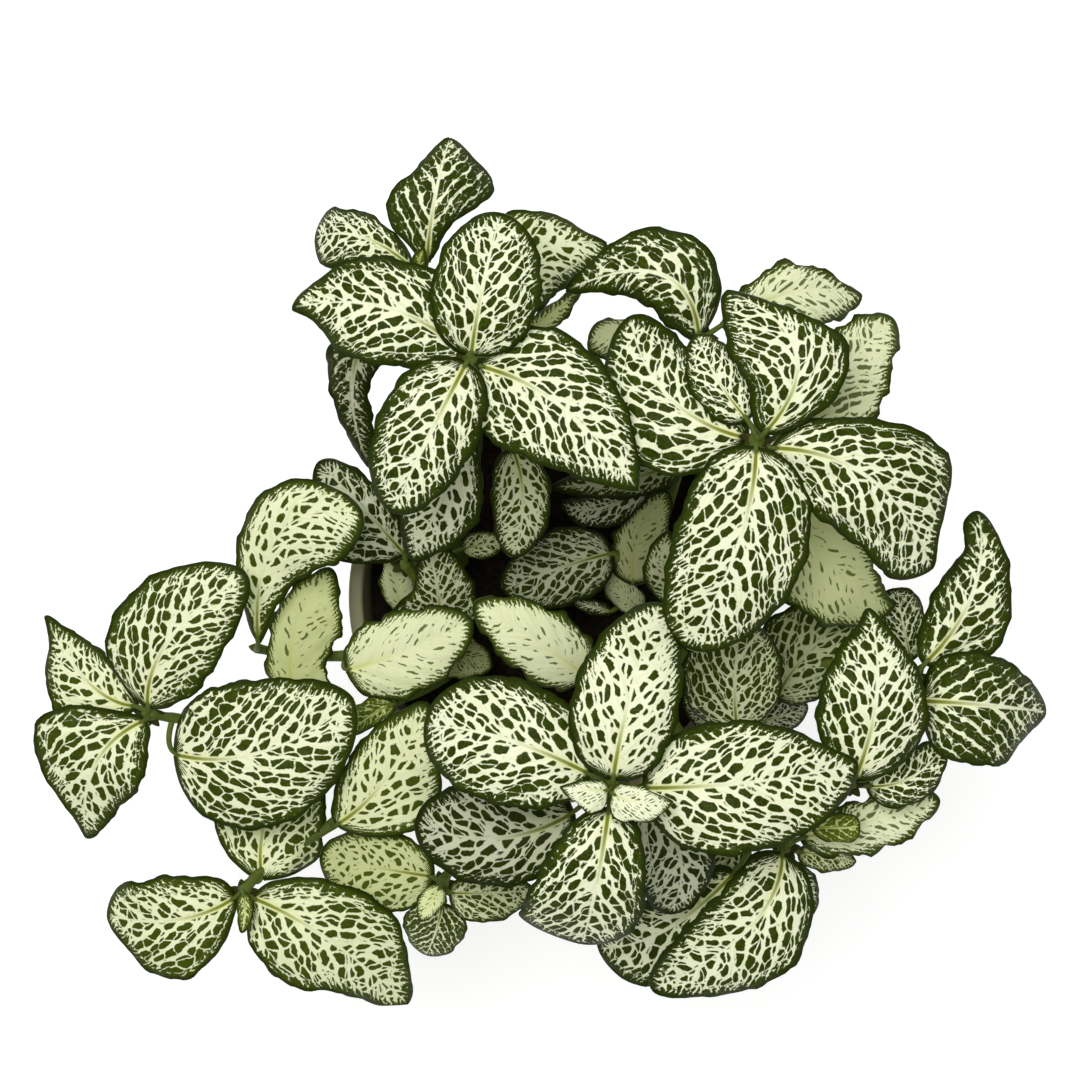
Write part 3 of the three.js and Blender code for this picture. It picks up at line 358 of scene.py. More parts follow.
class Blade:
    """One leaf's blade: where it is, its CAD rows, and how far it is bent down clear of the ones above."""

    def __init__(self, name, index, stem, stalk, *row):
        base, mid, tip, heights, droop, self.white, self.tint, self.shade, *rest = row
        half, self.form = rest or (None, None)
        self.name, self.index, self.stem = name, index, stem
        self.a, self.m, self.b = (place(at, z) for at, z in zip((base, mid, tip), heights))
        self.height = heights[1]
        self.chord = unit((self.b - self.a) * [1, 1, 0])
        centre = bend(self.a, self.m, self.b, 0.5)
        self.length = np.linalg.norm(centre - self.a) + np.linalg.norm(centre - self.b)
        self.outline = OUTLINES.get(name)
        self.widest = half or [max(side) for side in self.outline]
        self.half = [px * picture_scale(self.height) for px in self.widest]
        self.droop = np.broadcast_to(droop, 2)
        self.size = next(size for size in SIZES if self.length > size["above"])
        self.across = ACROSS["wide" if self.length > ACROSS["wide_above"] else "narrow"]
        self.stations = (0, *self.size["rows"], 1)
        self.push = np.zeros((len(self.stations), len(self.across)))
        across = np.array(self.across)
        self.rows = [self.at(np.full(len(across), u), across) for u in self.size["rows"]]
        # the nearest place on the stalk that leaves room for a petiole
        reach = np.maximum(np.linalg.norm(stalk - self.a, axis=1), BLADE["petiole_length"])
        self.joint = stalk[len(stalk) - 1 - int(np.argmin(np.round(reach[::-1], 2)))]

    def side(self, u):
        """The direction from the midrib to the left margin."""
        along = slope(self.a, self.m, self.b, u) * [1, 1, 0]
        along = unit(along) + self.chord
        return unit(np.stack([-along[..., 1], along[..., 0], np.zeros_like(along[..., 0])], axis=-1))

    def fullness(self, u, t):
        """The half width at u as a share of the widest, on the side where t is."""
        if not self.outline:
            return breadth(self.form, u)
        left, right = (traced(line, u) / most for line, most in zip(self.outline, self.widest))
        return np.where(t < 0, left, right)

    def at(self, u, t):
        """The blade's middle surface before it is bent clear."""
        middle = bend(self.a, self.m, self.b, u)
        wide = self.fullness(u, t)
        margin = np.abs(t)
        reach = np.where(t < 0, *self.half) * -t * wide
        droop = np.where(t < 0, *self.droop) * margin**2 * wide
        swell = BLADE["swell"] * min(self.half) * wide * np.sin(np.pi * margin) ** 2
        beat = np.sin(math.tau * BLADE["waves"] * u + self.index * 1.7 + t)
        wave = BLADE["wave"] * self.length * beat * margin**3
        point = middle + self.side(u) * reach[..., None]
        point[..., 2] += swell + wave - droop
        return point

    def pushed(self, u, t):
        """How far the blade is bent down here: the rows' pushes, eased between them."""
        row, s = eased(self.stations, u)
        column, r = eased(self.across, t)
        near, far = (self.push[k, column] * (1 - r) + self.push[k, column + 1] * r for k in (row, row + 1))
        return near * (1 - s) + far * s


# The layers, as in the CAD: a blade that would touch one above it is bent down clear of it
LAYER = dict(cell=1.5, clear=1.7, samples=5, free=7, least_weight=0.05)


def samples(blade, lowered):
    """Points all over a blade, each with its patch's corners and its weights for them."""
    width = len(blade.across)
    rows = np.array([np.repeat(blade.a[None], width, 0), *blade.rows, np.repeat(blade.b[None], width, 0)])
    if lowered:
        rows[1:, :, 2] -= blade.push[1:]
    steps = np.arange(LAYER["samples"] + 1) / LAYER["samples"]
    for i, j, s, t in product(range(len(rows) - 1), range(width - 1), steps, steps):
        corners = ((i, j), (i, j + 1), (i + 1, j), (i + 1, j + 1))
        weights = ((1 - s) * (1 - t), (1 - s) * t, s * (1 - t), s * t)
        yield sum(rows[c] * w for c, w in zip(corners, weights)), corners, weights


def cell_of(point):
    return tuple(math.floor(point[k] / LAYER["cell"] + 0.5) for k in (0, 1))


def settle(blades):
    """Bends each blade down clear of those above it, from the highest down."""
    cells = {}
    for blade in sorted(blades, key=lambda one: -one.height):
        for point, corners, weights in samples(blade, lowered=False):
            near = math.hypot(point[0] - blade.a[0], point[1] - blade.a[1]) < LAYER["free"]
            for (stem, _), low in cells.get(cell_of(point), {}).items():
                need = point[2] - (low - LAYER["clear"])
                if need <= 0 or (stem == blade.stem and near):
                    continue
                for corner, weight in zip(corners, weights):
                    if weight > LAYER["least_weight"]:
                        blade.push[corner] = max(blade.push[corner], need)
        blade.push[0] = 0
        blade.push[-1] = blade.push[-1].max()
        for point, _, _ in samples(blade, lowered=True):
            here = cells.setdefault(cell_of(point), {})
            key = (blade.stem, blade.name)
            here[key] = min(here.get(key, math.inf), point[2])


# Meshes


def show(name, data):
    """A new object of the scene."""
    thing = bpy.data.objects.new(name, data)
    bpy.context.scene.collection.objects.link(thing)
    return thing


def make_piece(name, points, faces, node, material, attributes=None):
    """A smooth piece in metres that stands for a CAD node. attributes are three numbers at each point."""
    mesh = bpy.data.meshes.new(name)
    points = np.clip(np.asarray(points) * METRE, *cad_box)
    mesh.from_pydata(points.tolist(), [], faces)
    for key, values in (attributes or {}).items():
        layer = mesh.attributes.new(key, "FLOAT_VECTOR", "POINT")
        layer.data.foreach_set("vector", np.asarray(values, np.float32).ravel())
    mesh.polygons.foreach_set("use_smooth", [True] * len(mesh.polygons))
    mesh.materials.append(material)
    mesh.update()
    piece = show(name, mesh)
    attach(piece, "root")
    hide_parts(node)
    return piece


def crease(mesh, border, count):
    """Sharp edges round both faces, so that the thin wall between them doesn't shade them."""
    ends = np.empty(2 * len(mesh.edges), np.int32)
    mesh.edges.foreach_get("vertices", ends)
    ends = ends.reshape(-1, 2)
    sharp = np.isin(ends % count, border).all(axis=1) & ((ends < count).sum(axis=1) != 1)
    layer = mesh.attributes.new("sharp_edge", "BOOLEAN", "EDGE")
    layer.data.foreach_set("value", sharp)


def turns(count, start=0.0):
    """Evenly spaced angles round a circle."""
    return [start + math.tau * k / count for k in range(count)]


def bands(rings, sides):
    """Quads between rings of points that follow one another."""
    faces = []
    for start in range(0, (rings - 1) * sides, sides):
        for k in range(sides):
            a, b = start + k, start + (k + 1) % sides
            faces.append((a, b, b + sides, a + sides))
    return faces


def capped(rings, sides):
    """The same rings' faces, closed at both ends."""
    count = rings * sides
    return [tuple(range(sides))[::-1], *bands(rings, sides), tuple(range(count - sides, count))]


def tube(line, radius, sides):
    """Rings of points along a line, closed at both ends, and their faces."""
    # no tube starts in this direction
    aslant = [0.31, 0.95, 0.05]
    line = np.asarray(line)
    tangents = unit(np.gradient(line, axis=0))
    up = unit(np.cross(tangents[0], aslant))
    points = []
    for centre, tangent, r in zip(line, tangents, radius):
        up = unit(up - tangent * np.dot(up, tangent))
        over = np.cross(tangent, up)
        for angle in turns(sides):
            points.append(centre + (math.cos(angle) * up + math.sin(angle) * over) * r)
    return np.array(points), capped(len(line), sides)


# Leaves

# A margin's waves, each with its height, its pitch and how it turns with the leaf: outward and upward
LOBES = ((0.34, 0.52, 1), (0.2, 0.97, -1.7), (0.1, 1.9, 3.1))
CURLS = ((0.4, 0.8, 1), (0.2, 1.9, -1))
MARGIN = dict(out=0.4, ragged=1.3, ragged_above=0.8, thin=0.45, thin_to=0.8, tip=0.25)
MIDRIB = dict(groove=0.45, groove_half=0.9, keel=0.5, keel_half=0.7)
BLISTER = 0.16


def waves(forward, turn, table):
    return sum(height * np.sin(pitch * forward + share * turn) for height, pitch, share in table)


def border_distance(x, y, border):
    """How far each point of a flat grid lies from the grid's border."""
    x, y = x.ravel(), y.ravel()
    return np.hypot(x[:, None] - x[border], y[:, None] - y[border]).min(axis=1)


def make_leaf(blade, material):
    along, across = blade.size["quads"]
    rows, columns = along + 1, across + 1
    count = rows * columns
    ids = np.arange(count).reshape(rows, columns)
    border = np.concatenate([ids[0], ids[1:, -1], ids[-1, -2::-1], ids[-2:0:-1, 0]]).tolist()

    # points crowd towards the foot and the tip, and a little towards the margins
    u = (1 - np.cos(np.linspace(0, np.pi, rows))) / 2
    t = np.sin(np.linspace(-np.pi / 2, np.pi / 2, columns)) * 0.35 + np.linspace(-1, 1, columns) * 0.65
    u, t = np.meshgrid(u, t, indexing="ij")
    points = blade.at(u, t)
    points[..., 2] -= blade.pushed(u, t)
    middle = points[:, across // 2, :]
    outward = blade.side(u) * -np.sign(t)[..., None]

    # the foot and the tip keep a little width
    flat = np.linalg.norm((points - middle[:, None]) * [1, 1, 0], axis=-1)
    least = np.abs(t) * np.where(u < 0.5, BLADE["foot"], MARGIN["tip"])
    points += outward * np.maximum(least - flat, 0)[..., None]
    lateral = np.maximum(flat, least) * -np.sign(t)
    forward = np.repeat(run_of(middle)[:, None], columns, axis=1)
    rim = border_distance(forward, lateral, border).reshape(rows, columns)

    # an uneven, wavy margin, a grooved midrib and blisters between the side veins
    turn = blade.index * 2.3 + (lateral > 0) * 2.1
    edge = np.abs(t) ** 5 * np.sin(np.pi * u) ** 0.5
    out = MARGIN["out"] + waves(forward, turn, LOBES)
    out *= edge * np.clip(np.abs(lateral) / 5, 0, 1)
    if blade.white > MARGIN["ragged_above"]:
        out *= 1 + MARGIN["ragged"]
    points -= outward * out[..., None]
    points[..., 2] += edge * waves(forward, turn, CURLS)
    groove = np.exp(-((lateral / MIDRIB["groove_half"]) ** 2))
    points[..., 2] -= MIDRIB["groove"] * groove * (1 - 0.6 * u)
    lanes = np.cos(math.tau * (forward - VEINS["slant"] * np.abs(lateral)) / VEINS["spacing"])
    points[..., 2] += BLISTER * lanes * np.clip(rim / 4, 0, 1) * np.clip(np.abs(lateral) / 3, 0, 1)

    # its upper and lower face
    normal = unit(np.cross(*(unit(np.gradient(points, axis=k)) for k in (0, 1))))
    normal *= np.where(normal[..., 2:] < 0, -1, 1)
    thick = MARGIN["thin"] + (1 - MARGIN["thin"]) * np.clip(rim / MARGIN["thin_to"], 0, 1)
    thick *= BLADE["thick"] / 2
    keel = MIDRIB["keel"] * np.exp(-((lateral / MIDRIB["keel_half"]) ** 2)) * (1 - u)
    shell = np.stack([points + normal * thick[..., None], points - normal * (thick + keel)[..., None]])
    shell[..., 2] -= max(shell[0, ..., 2].max() * METRE - cad_box[1][2], 0) / METRE
    quads = np.stack([ids[:-1, :-1], ids[:-1, 1:], ids[1:, 1:], ids[1:, :-1]], axis=-1).reshape(-1, 4)
    faces = quads.tolist() + (quads[:, ::-1] + count).tolist()
    for a, b in zip(border, border[1:] + border[:1]):
        faces.append((b, a, a + count, b + count))

    # what its material reads
    seed = random.Random(blade.index).random()
    size = min(1.0, max(VEINS["least_size"], blade.length / VEINS["full_size_at"]))
    attributes = dict(
        net=np.tile(np.stack([forward, lateral, rim], axis=-1).reshape(-1, 3), (2, 1)),
        lot=np.tile([blade.white, seed, blade.tint], (2 * count, 1)),
        # the underside, the leaf's size and its painted shade
        state=np.repeat([(0, size, blade.shade), (1, size, blade.shade)], count, axis=0),
    )
    points = shell.reshape(-1, 3)
    piece = make_piece(f"leaf_{blade.name}", points, faces, blade.stem, material, attributes)
    crease(piece.data, border, count)


def make_petiole(blade, material):
    start = unit(blade.rows[0][len(blade.across) // 2] - blade.a)
    distance = np.linalg.norm(blade.a - blade.joint)
    control = blade.a - start * 0.4 * distance
    end = blade.a + start * 2.4 - [0, 0, 0.25]
    u = np.linspace(0, 1, 15)
    radius = BLADE["petiole"] * (0.9 - 0.25 * u)
    radius[-2:] *= (0.8, 0.35)
    points, faces = tube(arc(blade.joint, control, end, u), radius, 12)
    make_piece(f"petiole_{blade.name}", points, faces, blade.stem, material)


# The scales round a stalk's tip, real but coloured near black: painted shade at the rosette's centre
BUD = dict(scales=7, length=4.6, half=1.25, below=1.6, flat=0.45, sides=10, bare=("stem_left",))


def make_stalk(name, line, joints, material):
    fine = even(line, 90)
    u = np.linspace(0, 1, len(fine))
    radius = STALK["root_radius"] + (STALK["tip_radius"] - STALK["root_radius"]) * u
    # swollen joints where the leaves leave it
    for joint in joints:
        gap = np.linalg.norm(fine - joint, axis=1)
        radius = radius + STALK["swelling"] * np.exp(-((gap / STALK["swelling_half"]) ** 2))
    radius = np.minimum(radius, STALK["root_radius"] + 0.25)
    bud = fine[-1] + unit(fine[-1] - fine[-2]) * np.linspace(0.3, STALK["bud"], 4)[:, None]
    fine = np.concatenate([fine, bud])
    radius = np.concatenate([radius, STALK["tip_radius"] * np.array([1.0, 0.85, 0.55, 0.12])])
    points, faces = tube(fine, radius, 14)
    make_piece(f"stalk_{name}", points, faces, name, material)


def make_bud(name, line, material):
    """The small scales round a stalk's tip, coloured near black as painted shade at the rosette's centre."""
    tip = line[-1] - [0, 0, BUD["below"]]
    sides = BUD["sides"]
    points, faces = [], []
    for k in range(BUD["scales"]):
        angle = math.tau * (k + 0.3 * (k % 2)) / BUD["scales"]
        out = np.array([math.cos(angle), math.sin(angle), -0.25])
        over = np.array([-math.sin(angle), math.cos(angle), 0])
        u = np.linspace(0, 1, 9)[:, None]
        centre = tip + out * BUD["length"] * u * (1 - 0.12 * (k % 3)) + [0, 0, 0.9] * np.sin(np.pi * u)
        radius = BUD["half"] * (np.sin(np.pi * (0.12 + 0.86 * u[:, 0])) ** 0.8)
        ring, quads = tube(centre, radius, sides)
        middle = np.repeat(centre, sides, axis=0)
        lift = (ring - middle) @ over
        ring[:, 2] = middle[:, 2] + (ring[:, 2] - middle[:, 2]) * BUD["flat"] + 0.12 * lift**2
        faces += [tuple(v + len(points) for v in face) for face in quads]
        points += ring.tolist()
    make_piece(f"bud_{name}", points, faces, name, material)


# Materials

# The net of veins, in millimetres on a full-size leaf
VEINS = dict(
    spacing=7.6, slant=1.45, curl=0.02, fan=12.0, fan_from=4.0, fan_to=20.0, split=(2.4, 6.5),
    cell=(2.8, 4.3), finer=0.35, corner=1.1, thin=-0.2, thicker=0.45, border=1.5, spikes=2.6, round=0.7,
    full_size_at=46, least_size=0.42,
)

# Colours as a screen shows them, 0 to 255
INKS = dict(
    cream=(243, 246, 216), lime=(206, 214, 138), streak=(206, 214, 150), halo=(222, 226, 118),
    dark_green=(30, 40, 0), green=(46, 58, 2), fine_vein=(122, 140, 60), young_green=(96, 112, 24),
    pale_green=(84, 98, 36), rim_green=(34, 46, 3), core=(112, 122, 12), underside=(150, 164, 108),
    # the buds' two colours are near black: painted shade for the rosette centres
    stalk_dark=(52, 66, 14), stalk_light=(98, 112, 34), hair=(160, 170, 110), bud_shade_deep=(24, 22, 6),
    bud_shade_pale=(66, 68, 18), pot_dark=(122, 118, 88), pot_light=(134, 130, 99), soil_dark=(9, 7, 5),
    soil_light=(30, 22, 15), soil_fleck=(60, 45, 30),
)


def ink(name):
    """A named colour in linear light."""
    steps = (c / 255 for c in INKS[name])
    return (*(c / 12.92 if c < 0.04045 else ((c + 0.055) / 1.055) ** 2.4 for c in steps), 1)


class Term:
    """A value in a material's graph, which sums and products can use."""

    def __init__(self, graph, socket):
        self.graph, self.socket = graph, socket

    def __abs__(self):
        return self.graph.calc("ABSOLUTE", self)


for sign, operation in dict(add="ADD", sub="SUBTRACT", mul="MULTIPLY", truediv="DIVIDE").items():
    setattr(Term, f"__{sign}__", lambda one, two, kind=operation: one.graph.calc(kind, one, two))
    setattr(Term, f"__r{sign}__", lambda one, two, kind=operation: one.graph.calc(kind, two, one))


class Graph:
    """A material's nodes. A call takes numbers or terms as inputs and returns its output as a term."""

    def __init__(self, name):
        self.material = bpy.data.materials.new(name)
        self.material.use_nodes = True
        self.tree = self.material.node_tree
        self.shader = self.tree.nodes["Principled BSDF"]

    def put(self, target, value):
        if isinstance(value, Term):
            self.tree.links.new(value.socket, target)
        else:
            target.default_value = value

    def node(self, kind, inputs=None, output=0, **settings):
        node = self.tree.nodes.new(kind)
        for key, value in settings.items():
            setattr(node, key, value)
        for key, value in (inputs or {}).items():
            self.put(node.inputs[key], value)
        return Term(self, node.outputs[output])

    def calc(self, operation, *values):
        return self.node("ShaderNodeMath", dict(enumerate(values)), operation=operation)

    def ease(self, value, low, high, start=0.0, end=1.0):
        inputs = {0: value, 1: low, 2: high, 3: start, 4: end}
        return self.node("ShaderNodeMapRange", inputs, interpolation_type="SMOOTHSTEP")

    def mix(self, factor, one, two, blend="MIX"):
        inputs = {0: factor, 6: one, 7: two}
        return self.node("ShaderNodeMix", inputs, output=2, data_type="RGBA", blend_type=blend)

    def noise(self, vector, scale, detail=2.0):
        return self.node("ShaderNodeTexNoise", dict(Vector=vector, Scale=scale, Detail=detail))

    def swing(self, vector, scale, detail=2.0):
        """Noise about zero."""
        return self.noise(vector, scale, detail) - 0.5

    def cells(self, vector, feature, output):
        inputs = dict(Vector=vector, Scale=1.0, Randomness=0.75)
        return self.node("ShaderNodeTexVoronoi", inputs, output, voronoi_dimensions="2D", feature=feature)

    def bump(self, strength, depth, height):
        return self.node("ShaderNodeBump", dict(Strength=strength, Distance=depth, Height=height))

    def where(self):
        """The place on the piece, in metres."""
        return self.node("ShaderNodeTexCoord", output=3)

    def values(self, name):
        """Three numbers that each point carries."""
        return self.parts(self.node("ShaderNodeAttribute", output=1, attribute_name=name))

    def parts(self, vector):
        node = self.tree.nodes.new("ShaderNodeSeparateXYZ")
        self.put(node.inputs[0], vector)
        return [Term(self, socket) for socket in node.outputs[:3]]

    def join(self, x, y, z):
        return self.node("ShaderNodeCombineXYZ", {0: x, 1: y, 2: z})

    def finish(self, **inputs):
        for key, value in inputs.items():
            self.put(self.shader.inputs[key.replace("_", " ")], value)
        return self.material


def lane_net(g, spot, forward, away, rim, seed, side):
    """The lanes between the side veins. Returns how far a point is inside its cell, how far inside a dash
    along the lane's middle, the lane and a chance."""
    sway, drift = g.swing(spot, 0.11, 1.0), g.swing(spot, 0.3)
    # side veins leave the midrib aslant and curl towards the tip, and those of the base fan out from it
    course = forward - away * (VEINS["slant"] + away * VEINS["curl"])
    radius = g.calc("SQRT", forward * forward + away * away)
    radius = g.calc("MINIMUM", g.calc("MAXIMUM", radius, VEINS["fan_from"]), VEINS["fan_to"])
    ratio = 1.0 + g.calc("LESS_THAN", course, 0.0) * (VEINS["fan"] / radius - 1.0)
    lane = course * ratio / VEINS["spacing"] + sway + drift * 0.45 + side * 0.31 + seed * 7.0
    number, part = g.calc("FLOOR", lane), g.calc("FRACT", lane)
    norm = math.hypot(1, VEINS["slant"])
    width = VEINS["spacing"] / norm / ratio
    middle = abs(part - 0.5)
    beside = (0.5 - middle) * width

    # towards the margin a vein splits each lane in two
    near, far = VEINS["split"]
    chance = g.calc("FRACT", g.calc("SINE", number * 12.9 + side * 4.1) * 437.5)
    limit = chance * (far - near) + near
    split = g.calc("LESS_THAN", rim, limit)
    unsplit = (1.0 - split) * 9.0
    beside = g.calc("MINIMUM", beside - 0.2, middle * width + unsplit)

    # uneven cells between them, smaller near the margin
    wide, long = VEINS["cell"]
    finer = 1.0 + split * VEINS["finer"]
    along = (forward * VEINS["slant"] + away) / norm + drift * 1.5 + side * 31.0 + seed * 57.0
    cell = g.join(lane * finer * (VEINS["spacing"] / norm / wide), along * finer / long, 0.0)
    ball = VEINS["round"] - g.cells(cell, "F1", 0)
    between = g.calc("MINIMUM", g.cells(cell, "DISTANCE_TO_EDGE", 0), ball)
    between = g.calc("MINIMUM", between * wide / finer - 0.05, abs(rim - limit))
    luck = g.parts(g.cells(cell, "F1", 1))[0]

    # the cell's outline with round corners
    corner = VEINS["corner"] * (1.0 - split * 0.3)
    short = g.calc("MAXIMUM", corner - beside, 0.0)
    tall = g.calc("MAXIMUM", corner - between, 0.0)
    quarter = abs(g.calc("FRACT", part * 2.0) - 0.5) * width * 0.5
    dash = g.calc("MINIMUM", 0.3 - quarter, between * 0.5 - 0.34)
    return corner - g.calc("SQRT", short * short + tall * tall), dash, lane, luck


def leaf_material():
    g = Graph("leaf")
    white, seed, tint = g.values("lot")
    back, size, shade = g.values("state")
    forward, lateral, rim = (length / size for length in g.values("net"))
    away = abs(lateral)
    apart = seed * 97.0
    spot = g.join(forward, lateral, apart)
    depth, dash, lane, luck = lane_net(g, spot, forward, away, rim, seed, g.calc("SIGN", lateral))
    rough = g.swing(spot, 0.9) + g.swing(spot, 2.4) * 0.7
    depth = depth + rough * 0.4

    # thick veins leave small cells, and few on a pale leaf
    thick = VEINS["thin"] + white * VEINS["thicker"] + (luck - 0.5) * 0.16 + g.swing(spot, 0.16) * 0.3
    thick = thick + g.ease(away, 1.0, 9.0, 0.1, 0.0)
    pale = g.ease(white, 0.78, 0.92)
    inside = depth - thick - pale * 2.0
    dash = g.ease(dash + rough * 0.12 + (luck - 0.4) * 0.4 + (1.0 - white) * 1.2, -0.02, 0.12)
    dark = g.calc("MAXIMUM", g.ease(inside, -0.1, 0.12), dash * g.ease(pale, 0.1, 0.4) * 0.9)

    # the border, with the veins' ends as spikes in it
    axis = abs(g.calc("FRACT", lane * 2.9 + rough * 1.1) - 0.5)
    wobble = g.swing(spot, 0.2) * 2.0 + g.swing(spot, 0.8) * 1.2
    spike = (rim + wobble - VEINS["border"]) / VEINS["spikes"]
    reach = g.ease(forward - away * VEINS["slant"], -9.0, -1.0, 0.25, 1.9)
    dark = g.calc("MAXIMUM", dark, g.ease(axis * reach - spike, -0.1, 0.1))

    # the midrib, with a green core towards the base
    rib_half = g.calc("MAXIMUM", 1.15 - forward * 0.024, 0.2)
    rib = g.ease(away - rib_half, -0.2, 0.25, 1.0, 0.0) * g.ease(rim, 1.0, 3.2)
    base = g.ease(forward, 4.0, 26.0, 1.0, 0.0)
    core = g.ease(away - rib_half * 0.45, -0.15, 0.3, 1.0, 0.0) * base
    halo = g.ease(away, 0.3, 2.0, 0.45, 0.0) * base
    dark = dark * (1.0 - rib)

    # the cream of the veins, streaked along the lanes
    cream = g.mix(tint, ink("cream"), ink("lime"))
    streak = g.noise(g.join(lane * 7.0, forward * 0.08, apart), 1.0, 3.0)
    cream = g.mix(g.ease(streak, 0.42, 0.72, 0.0, 0.45), cream, ink("streak"))
    cream = g.mix(halo, cream, ink("halo"))

    # the green between them, with the finest veins
    green = g.mix(g.ease(g.noise(spot, 0.25), 0.3, 0.7), ink("dark_green"), ink("green"))
    mesh = dict(Vector=g.join(forward + rough, lateral - rough, apart), Scale=0.62)
    fine = g.node("ShaderNodeTexVoronoi", mesh, feature="DISTANCE_TO_EDGE")
    green = g.mix(g.ease(fine, 0.01, 0.08, 0.12, 0.0), green, ink("fine_vein"))
    green = g.mix(tint * 0.75, green, ink("young_green"))
    green = g.mix(pale * 0.5, green, ink("pale_green"))
    green = g.mix(g.ease(rim, 0.2, 2.2), ink("rim_green"), green)

    colour = g.mix(dark, cream, green)
    colour = g.mix(core * (0.95 - pale * 0.8), colour, ink("core"))
    colour = g.mix(back, colour, g.mix(0.55, colour, ink("underside")))
    # painted shade: the colour is darkened by the leaf's shade, for the leaves lying in shade under the
    # others
    colour = g.mix(1.0, colour, g.join(shade, shade, shade), blend="MULTIPLY")
    bump = g.bump(0.5, 0.0004, g.ease(inside, -0.4, 0.7) * 0.8 + rough * 0.1)
    roughness = g.ease(dark, 0.0, 1.0, 0.55, 0.45)
    return g.finish(Base_Color=colour, Roughness=roughness, Normal=bump, Specular_IOR_Level=0.05)


def stalk_material():
    g = Graph("stalk")
    where = g.where()
    colour = g.mix(g.noise(where, 120.0, 3.0), ink("stalk_dark"), ink("stalk_light"))
    hairs = g.noise(where, 2600.0, 1.0)
    colour = g.mix(g.ease(hairs, 0.55, 0.75, 0.0, 0.2), colour, ink("hair"))
    bump = g.bump(0.4, 0.0003, hairs)
    return g.finish(Base_Color=colour, Roughness=0.6, Normal=bump, Specular_IOR_Level=0.25)


# painted shade: the buds' near-black colour stands for the deep shade at each rosette's centre
def painted_shade_bud_material():
    g = Graph("bud")
    colour = g.mix(g.noise(g.where(), 400.0), ink("bud_shade_deep"), ink("bud_shade_pale"))
    return g.finish(Base_Color=colour, Roughness=0.7, Specular_IOR_Level=0.1)


def pot_material():
    g = Graph("pot")
    where = g.where()
    cloud, grain = g.noise(where, 28.0, 4.0), g.noise(where, 1400.0)
    colour = g.mix(g.ease(cloud, 0.3, 0.7), ink("pot_dark"), ink("pot_light"))
    roughness = g.ease(cloud, 0.2, 0.8, 0.48, 0.62)
    return g.finish(Base_Color=colour, Roughness=roughness, Normal=g.bump(0.25, 0.0002, grain * 0.5 + cloud))


def soil_material():
    g = Graph("soil")
    where = g.where()
    crumb = g.noise(where, 700.0, 4.0)
    fleck = g.node("ShaderNodeTexVoronoi", dict(Vector=where, Scale=420.0), output=1)
    colour = g.mix(g.ease(crumb, 0.3, 0.7), ink("soil_dark"), ink("soil_light"))
    colour = g.mix(0.12, colour, g.mix(1.0, fleck, ink("soil_fleck"), blend="MULTIPLY"))
    bump = g.bump(0.9, 0.001, crumb)
    return g.finish(Base_Color=colour, Roughness=0.95, Normal=bump, Specular_IOR_Level=0.1)


def floor_material():
    g = Graph("floor")
    colour = g.mix(g.noise(g.where(), 3.0), (0.46, 0.46, 0.46, 1), (0.44, 0.44, 0.44, 1))
    return g.finish(Base_Color=colour, Roughness=0.9, Emission_Color=(1, 1, 1, 1), Emission_Strength=0.74)


# The pot and the soil


def inner(z):
    """The radius of the pot's inner wall at height z."""
    at_low = POT["rim_radius"] - POT["collar_overhang"] - POT["wall"] - POT["step"]
    at_top = POT["rim_radius"] - POT["lip_width"]
    if z > COLLAR_FOOT:
        return at_low + (at_top - at_low) * (z - COLLAR_FOOT) / POT["collar_height"]
    at_floor = POT["base_radius"] - POT["wall"]
    return at_floor + (at_low - at_floor) * z / COLLAR_FOOT


def rounded(corners, steps=4):
    """An outline of (radius, z, rounding) with each corner turned into a short curve."""
    line = []
    for k, (r, z, rounding) in enumerate(corners):
        here = np.array([r, z])
        if rounding == 0:
            line.append(here)
            continue
        ways = (np.array(corners[(k + d) % len(corners)][:2]) - here for d in (-1, 1))
        a, b = (here + unit(way) * min(rounding, np.linalg.norm(way) / 2) for way in ways)
        line.extend(arc(a, here, b, np.linspace(0, 1, steps + 1)))
    return line


def make_pot(material):
    rim, low, top = POT["rim_radius"], COLLAR_FOOT, POT["height"]
    corners = [
        (POT["base_radius"] - POT["flat"], 0, 0),
        (POT["base_radius"], 0, 1.0),
        (inner(low) + POT["wall"], low - 0.6, 0.8),
        (rim - 1.3, low, 0.7),
        (rim, top, 1.1),
        (inner(top), top, 1.1),
        (inner(low), low, 1.0),
        (inner(POT["floor"]), POT["floor"], 1.0),
        (inner(POT["floor"]) - POT["flat"], POT["floor"], 0),
    ]
    line = rounded(corners)
    sides = 160
    points = [(r * math.cos(angle), r * math.sin(angle), z) for r, z in line for angle in turns(sides)]
    faces = bands(len(line), sides)
    add_floor(points, faces, sides, 0, len(line) - 1)
    make_piece("nursery_pot", points, faces, "pot", material)


def add_floor(points, faces, sides, under, over):
    """The pot's floor between its ring below and its ring inside, pierced by the drain holes."""
    segments = 24
    walls = []
    for ring, z, flip in ((under, 0.0, True), (over, float(POT["floor"]), False)):
        loops = []
        for angle in turns(POT["drain_count"]):
            loops.append(list(range(len(points), len(points) + segments)))
            for turn in turns(segments, angle + math.pi):
                x = POT["drain_circle"] * math.cos(angle) + POT["drain_radius"] * math.cos(turn)
                y = POT["drain_circle"] * math.sin(angle) + POT["drain_radius"] * math.sin(turn)
                points.append((x, y, z))
        fill_between(points, faces, [[ring * sides + k for k in range(sides)], *loops], flip)
        walls.append(loops)
    for low, high in zip(*walls):
        faces += zip(low, high, high[1:] + high[:1], low[1:] + low[:1])


